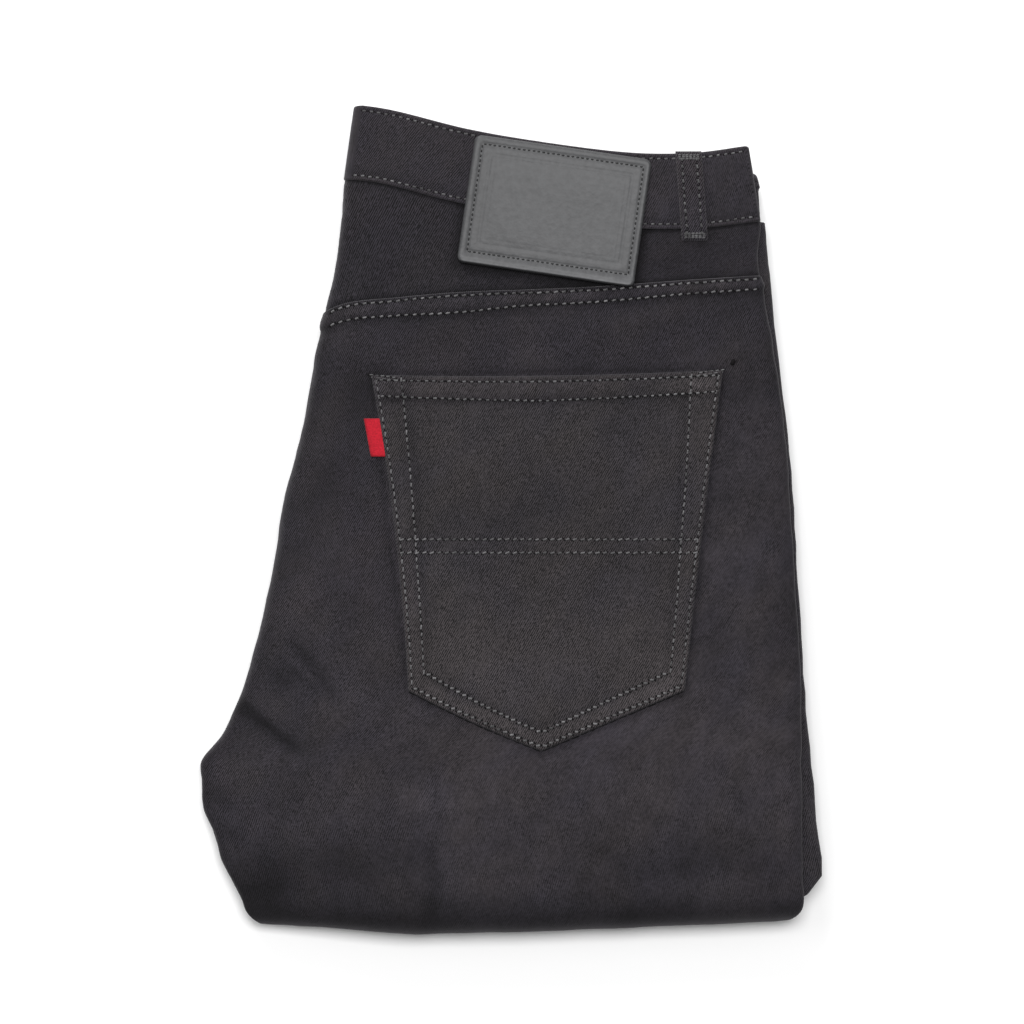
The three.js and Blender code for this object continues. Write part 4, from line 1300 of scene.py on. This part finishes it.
# Sewing: each stitch is a short bowed thread, with a needle hole, a dark disc of painted shade, at each end
class Sewing:
    def __init__(self, name, material):
        self.name, self.material = name, material
        self.vertices, self.faces, self.shades = [], [], []
        self.random = np.random.RandomState(5)

    def stitch(self, centre, along, up, length, width, rise):
        shade = 0.5 * fine_noise(centre[0], centre[1], 3.3) + 0.35 * fold_noise(centre[0], centre[1], 17)
        first = len(self.shades)
        self.faces += [tuple(first + corner for corner in face) for face in TUBE_FACES]
        self.shades += [float(np.clip(shade - 0.04, -0.6, 0.45))] * ((STEPS + 1) * SIDES)
        t = np.linspace(-1, 1, STEPS + 1)[:, None, None]
        angle = np.linspace(0, 2 * math.pi, SIDES, endpoint=False)[:, None]
        middle = centre + along * (t * length / 2) + up * (rise * (1 - t * t) - SINK)
        radius = width / 2 * (1 - 0.8 * abs(t) ** 5)
        outward = np.cross(up, along) * np.cos(angle) + up * FLATNESS * np.sin(angle)
        self.vertices.append((middle + radius * outward).reshape(-1, 3))

    def row(self, points, height, pitch=3.65, fill=0.66, width=0.85, rise=0.36, slant=12.0, hole=1.0):
        """Stitches along a line of plan points, lying on a surface of that height. Hole 0 makes no holes."""
        lengths = np.r_[0, np.cumsum(np.linalg.norm(np.diff(points, axis=0), axis=1))]
        count = max(1, int(round(lengths[-1] / pitch)))

        def at(mark):
            return np.array([np.interp(mark, lengths, points[:, k]) for k in (0, 1)])

        for mark in (np.arange(count) + 0.5) / count * lengths[-1]:
            jitter = self.random.uniform(-1, 1, 4)
            half = pitch * fill / 2 * (1 + 0.12 * jitter[0])
            start, end = at(mark - half), at(mark + half)
            middle = (start + end) / 2 + 0.1 * jitter[1:3]
            way = np.array(turned(*(end - start), slant + 5 * jitter[3]))
            ends = np.array([middle - way / 2, middle + way / 2])
            start, end = np.column_stack([ends, height(*ends.T)])
            length = np.linalg.norm(end - start)
            along = (end - start) / length
            up = np.array([0, 0, 1.0]) - along * along[2]
            up /= np.linalg.norm(up)
            self.stitch((start + end) / 2 + SHIFT, along, up, length, width, rise)
            if hole:
                for place in (start, end):
                    holes.stitch(place + SHIFT + up * 0.15, along, up, hole, 0.85 * hole, 0.04)

    def sew(self, slot):
        mesh = bpy.data.meshes.new(self.name)
        mesh.from_pydata((np.concatenate(self.vertices) * MM).tolist(), [], self.faces)
        mesh.attributes.new("tone_and_shade", "FLOAT", "POINT").data.foreach_set("value", self.shades)
        mesh.shade_smooth()
        return finished(self.name, mesh, self.material, slot)


def height_of(grid):
    """The height of the nearest point of a grid, as a function of plan points."""
    points = grid.reshape(-1, 3)

    def height(x, y):
        nearest = [np.argmin((points[:, 0] - px) ** 2 + (points[:, 1] - py) ** 2) for px, py in zip(x, y)]
        return points[nearest, 2]

    return height


pocket_height, loop_height = height_of(pocket_outside), height_of(loop_top)
holes = Sewing("needle_holes_and_shade_line", hole)
seams = Sewing("seam_stitching", thread)
yoke_seams = Sewing("yoke_stitching", thread_light)
x = np.linspace(float(follow(TOP_OUTLINE, "y", "left", 100)) + 2.2, 120.6, 120)
for drop in (FIRST_ROW, follow(SECOND_ROW, "x", "drop", x)):
    seam_line = np.stack([x, seam_y(x) - drop], -1)
    yoke_seams.row(seam_line, face_height, pitch=4.05, fill=0.7, width=0.9, rise=0.4, slant=10, hole=1.3)


def band_height(x, y):
    """Height of the waistband's outer face, found by nearing the place step by step."""
    part = (x - WAISTBAND["bottom_x"][0]) / BAND_WIDTH
    for _ in range(6):
        bottom, top = (band_plan(part, end)[1] for end in (0, 1))
        up = (y - bottom) / (top - bottom)
        left, right = (lerp(WAISTBAND["bottom_x"][k], WAISTBAND["top_x"][k], up) for k in (0, -1))
        part = np.clip(part + (x - band_plan(part, up)[0]) / (right - left), 0, 1)
    return band_point(part, 0, up, -band_face(part, up, 1.0))[..., 2]


for row in BAND_ROWS_AT:
    point = band_point(np.linspace(0.018, 0.985, 100), 0, row / BAND_HEIGHT, 0)
    seams.row(point[:, :2], band_height, slant=8)

pocket_seams = Sewing("pocket_stitching", thread)
foot_seams = Sewing("pocket_foot_stitching", thread_light)
# Points of a straight line of stitches
LINE = 40


def pocket_line(across, down):
    return np.stack(pocket_place(np.asarray(across, float), np.asarray(down, float)), -1)


def offset_line(points, by):
    """The line moved sideways, to its left where it goes down."""
    way = np.gradient(points, axis=0)
    way /= np.linalg.norm(way, axis=1, keepdims=True)
    return points + np.reshape(by, (-1, 1)) * np.stack([-way[:, 1], way[:, 0]], -1)


left, tip, right = (pocket_line([across], [1])[0] for across in (0, FOOT_MIDDLE, 1))
for inset, ends in ((ROW_NEAR, (0.012, 0.985)), (ROW_FAR, (0.02, 0.955))):
    t = np.linspace(ends[0], ends[1], 70)
    for across, way in ((0, 1), (1, -1)):
        by = inset if inset == ROW_NEAR else inner_row(across, t)
        side_line = offset_line(pocket_line(0 * t + across, t), way * by)
        pocket_seams.row(side_line, pocket_height, fill=0.78, width=0.72, rise=0.3, slant=-8, hole=0.85)
    drop = inset / math.cos(math.radians(FOOT_SLOPE))
    for corner, sign in ((left, 1), (right, -1)):
        start, end = corner + np.array([sign * inset, inset * 1.06]), tip + np.array([0, drop])
        foot_line = np.linspace(start, end, LINE)
        if sign > 0:
            foot_line[:, 1] -= POCKET["foot_bow"] * arch(np.linspace(0, 1, LINE))
        foot_seams.row(foot_line, pocket_height, 3.4, 0.78, width=1.05, rise=0.46, slant=29 * sign, hole=1.25)
for row, inset in ((TOP_ROW, 2.6), (HEM_ROW, 1.8)):
    t = np.linspace(inset / POCKET_WIDTH, 1 - inset / POCKET_WIDTH, 90)
    pocket_seams.row(pocket_line(t, 0 * t + row / POCKET_LENGTH), pocket_height, slant=7, hole=1.2)
for row in DECOR_ROWS:
    x = np.linspace(-54.5, 91.5, 90)
    pocket_seams.row(np.stack([x, 0 * x + row], -1), pocket_height, fill=0.76, slant=18)
# Tacks at the pocket's top corners, the second of each pair without holes of its own
for corner, sign in ((0, 1), (1, -1)):
    for k in range(2):
        start = pocket_line([corner], [0.004])[0] + np.array([sign * (0.8 * k - 1.4), 1.0 - 1.3 * k])
        tack = np.linspace(start, start + np.array([sign * 13.5, -1.8]), LINE)
        hole_size = 0 if k else 0.8
        pocket_seams.row(tack, pocket_height, 2.5, 0.9, width=0.6, rise=0.28, slant=5, hole=hole_size)

loop_seams = Sewing("belt_loop_stitching", thread)


def loop_line(start, end, drop=0):
    """A line on the belt loop between two places, each a share of its width and of the band's height."""
    ends = [band_point(BELT_LOOP_PART, side * LOOP_WIDTH, up, 0)[:2] for side, up in (start, end)]
    return np.linspace(*ends, LINE) - np.array([0, drop])


for side in (-0.29, 0.29):
    loop_seams.row(loop_line((side, 0.96), (side, -0.12)), loop_height)
for up, way in ((0.965, 1), (-0.13, -1)):
    for drop in (0, 0.9, 1.8):
        bar = loop_line((-0.42, up), (0.42, up), way * drop)
        loop_seams.row(bar, loop_height, pitch=1.8, fill=0.95, hole=0)

# Shade in the narrow gap under the pocket's foot, where its edge stands off the seat
for ends in ((0, FOOT_MIDDLE), (FOOT_MIDDLE, 1)):
    edge_line = offset_line(pocket_line(np.linspace(*ends, 60), np.ones(60)), -0.25)
    holes.row(edge_line, face_height, pitch=5, fill=1.12, rise=0.2, slant=0, hole=0)

patch_seams = Sewing("patch_stitching", thread_dark)


def patch_height(x, y):
    return patch_base(x, y) + patch_lift(*patch_frame(x, y))


left, right = PATCH_ROW["left"] - HALF_WIDTH, HALF_WIDTH - PATCH_ROW["right"]
low, high = PATCH_ROW["bottom"] - HALF_HEIGHT, HALF_HEIGHT - PATCH_ROW["top"]
corners = [(left, high), (right, high), (right, low), (left, low), (left, high)]
for start, end in zip(corners[:-1], corners[1:]):
    placed = np.stack(patch_place(*np.linspace(start, end, LINE).T), -1)
    patch_seams.row(placed, patch_height, pitch=2.4, fill=0.75, width=0.95, rise=0.3, slant=4, hole=0)

# A knot of thread near the pocket's right corner
KNOT = np.array([107.9, 75.5])
place = np.r_[KNOT, face_height(KNOT[:1], KNOT[1:])[0] + 0.45]
holes.stitch(place + SHIFT, np.array([0.3, 0.954, 0]), np.array([0, 0, 1.0]), 3.3, 1.9, 0.3)

for sewing in (seams, yoke_seams, pocket_seams, foot_seams, loop_seams, holes):
    sewing.sew("denim")
patch_seams.sew("patch_leather")

# The surface it lies on
bpy.ops.mesh.primitive_plane_add(size=8, location=(0, 0, 0))
floor = bpy.context.object
floor.name = "floor"
floor.data.materials.append(plain_material("floor_white", (0.9, 0.9, 0.9), 0.9, 0.0, 0.1))

# Camera straight above: the view's width is at the height of the seat's top
CAMERA_HEIGHT, TOP_PLANE, VIEW_WIDTH, SENSOR = 1.5, 0.027, 0.4966, 36
CAMERA_X, CAMERA_Y = 0.00073, 0.00279
scene = bpy.context.scene
camera_data = bpy.data.cameras.new("camera")
camera = bpy.data.objects.new("camera", camera_data)
scene.collection.objects.link(camera)
camera_data.sensor_width = SENSOR
camera_data.lens = SENSOR * CAMERA_HEIGHT / VIEW_WIDTH
camera.location = (CAMERA_X + SHIFT[0] * MM, CAMERA_Y + SHIFT[1] * MM, TOP_PLANE + CAMERA_HEIGHT)
camera.rotation_euler = (0, 0, 0)
scene.camera = camera

# Soft lights aimed at the middle: name, place, size and power
LIGHTS = (
    ("softbox_above", (0.1, 0.6, 2.2), (1.2, 0.9), 43),
    ("softbox_north", (-0.5, 1.9, 0.95), (1.0, 0.6), 30),
    ("softbox_west", (-1.7, 0.3, 0.9), (0.8, 0.8), 6),
)
for name, place, size, power in LIGHTS:
    data = bpy.data.lights.new(name, "AREA")
    data.shape = "RECTANGLE"
    data.size, data.size_y = size
    data.energy = power
    light = bpy.data.objects.new(name, data)
    scene.collection.objects.link(light)
    light.location = place
    light.rotation_euler = (-mathutils.Vector(place)).to_track_quat("-Z", "Y").to_euler()
world = bpy.data.worlds.new("studio")
scene.world = world
world.use_nodes = True
background = world.node_tree.nodes["Background"]
background.inputs["Color"].default_value = (1, 1, 1, 1)
background.inputs["Strength"].default_value = 0.38
scene.view_settings.view_transform = "Standard"
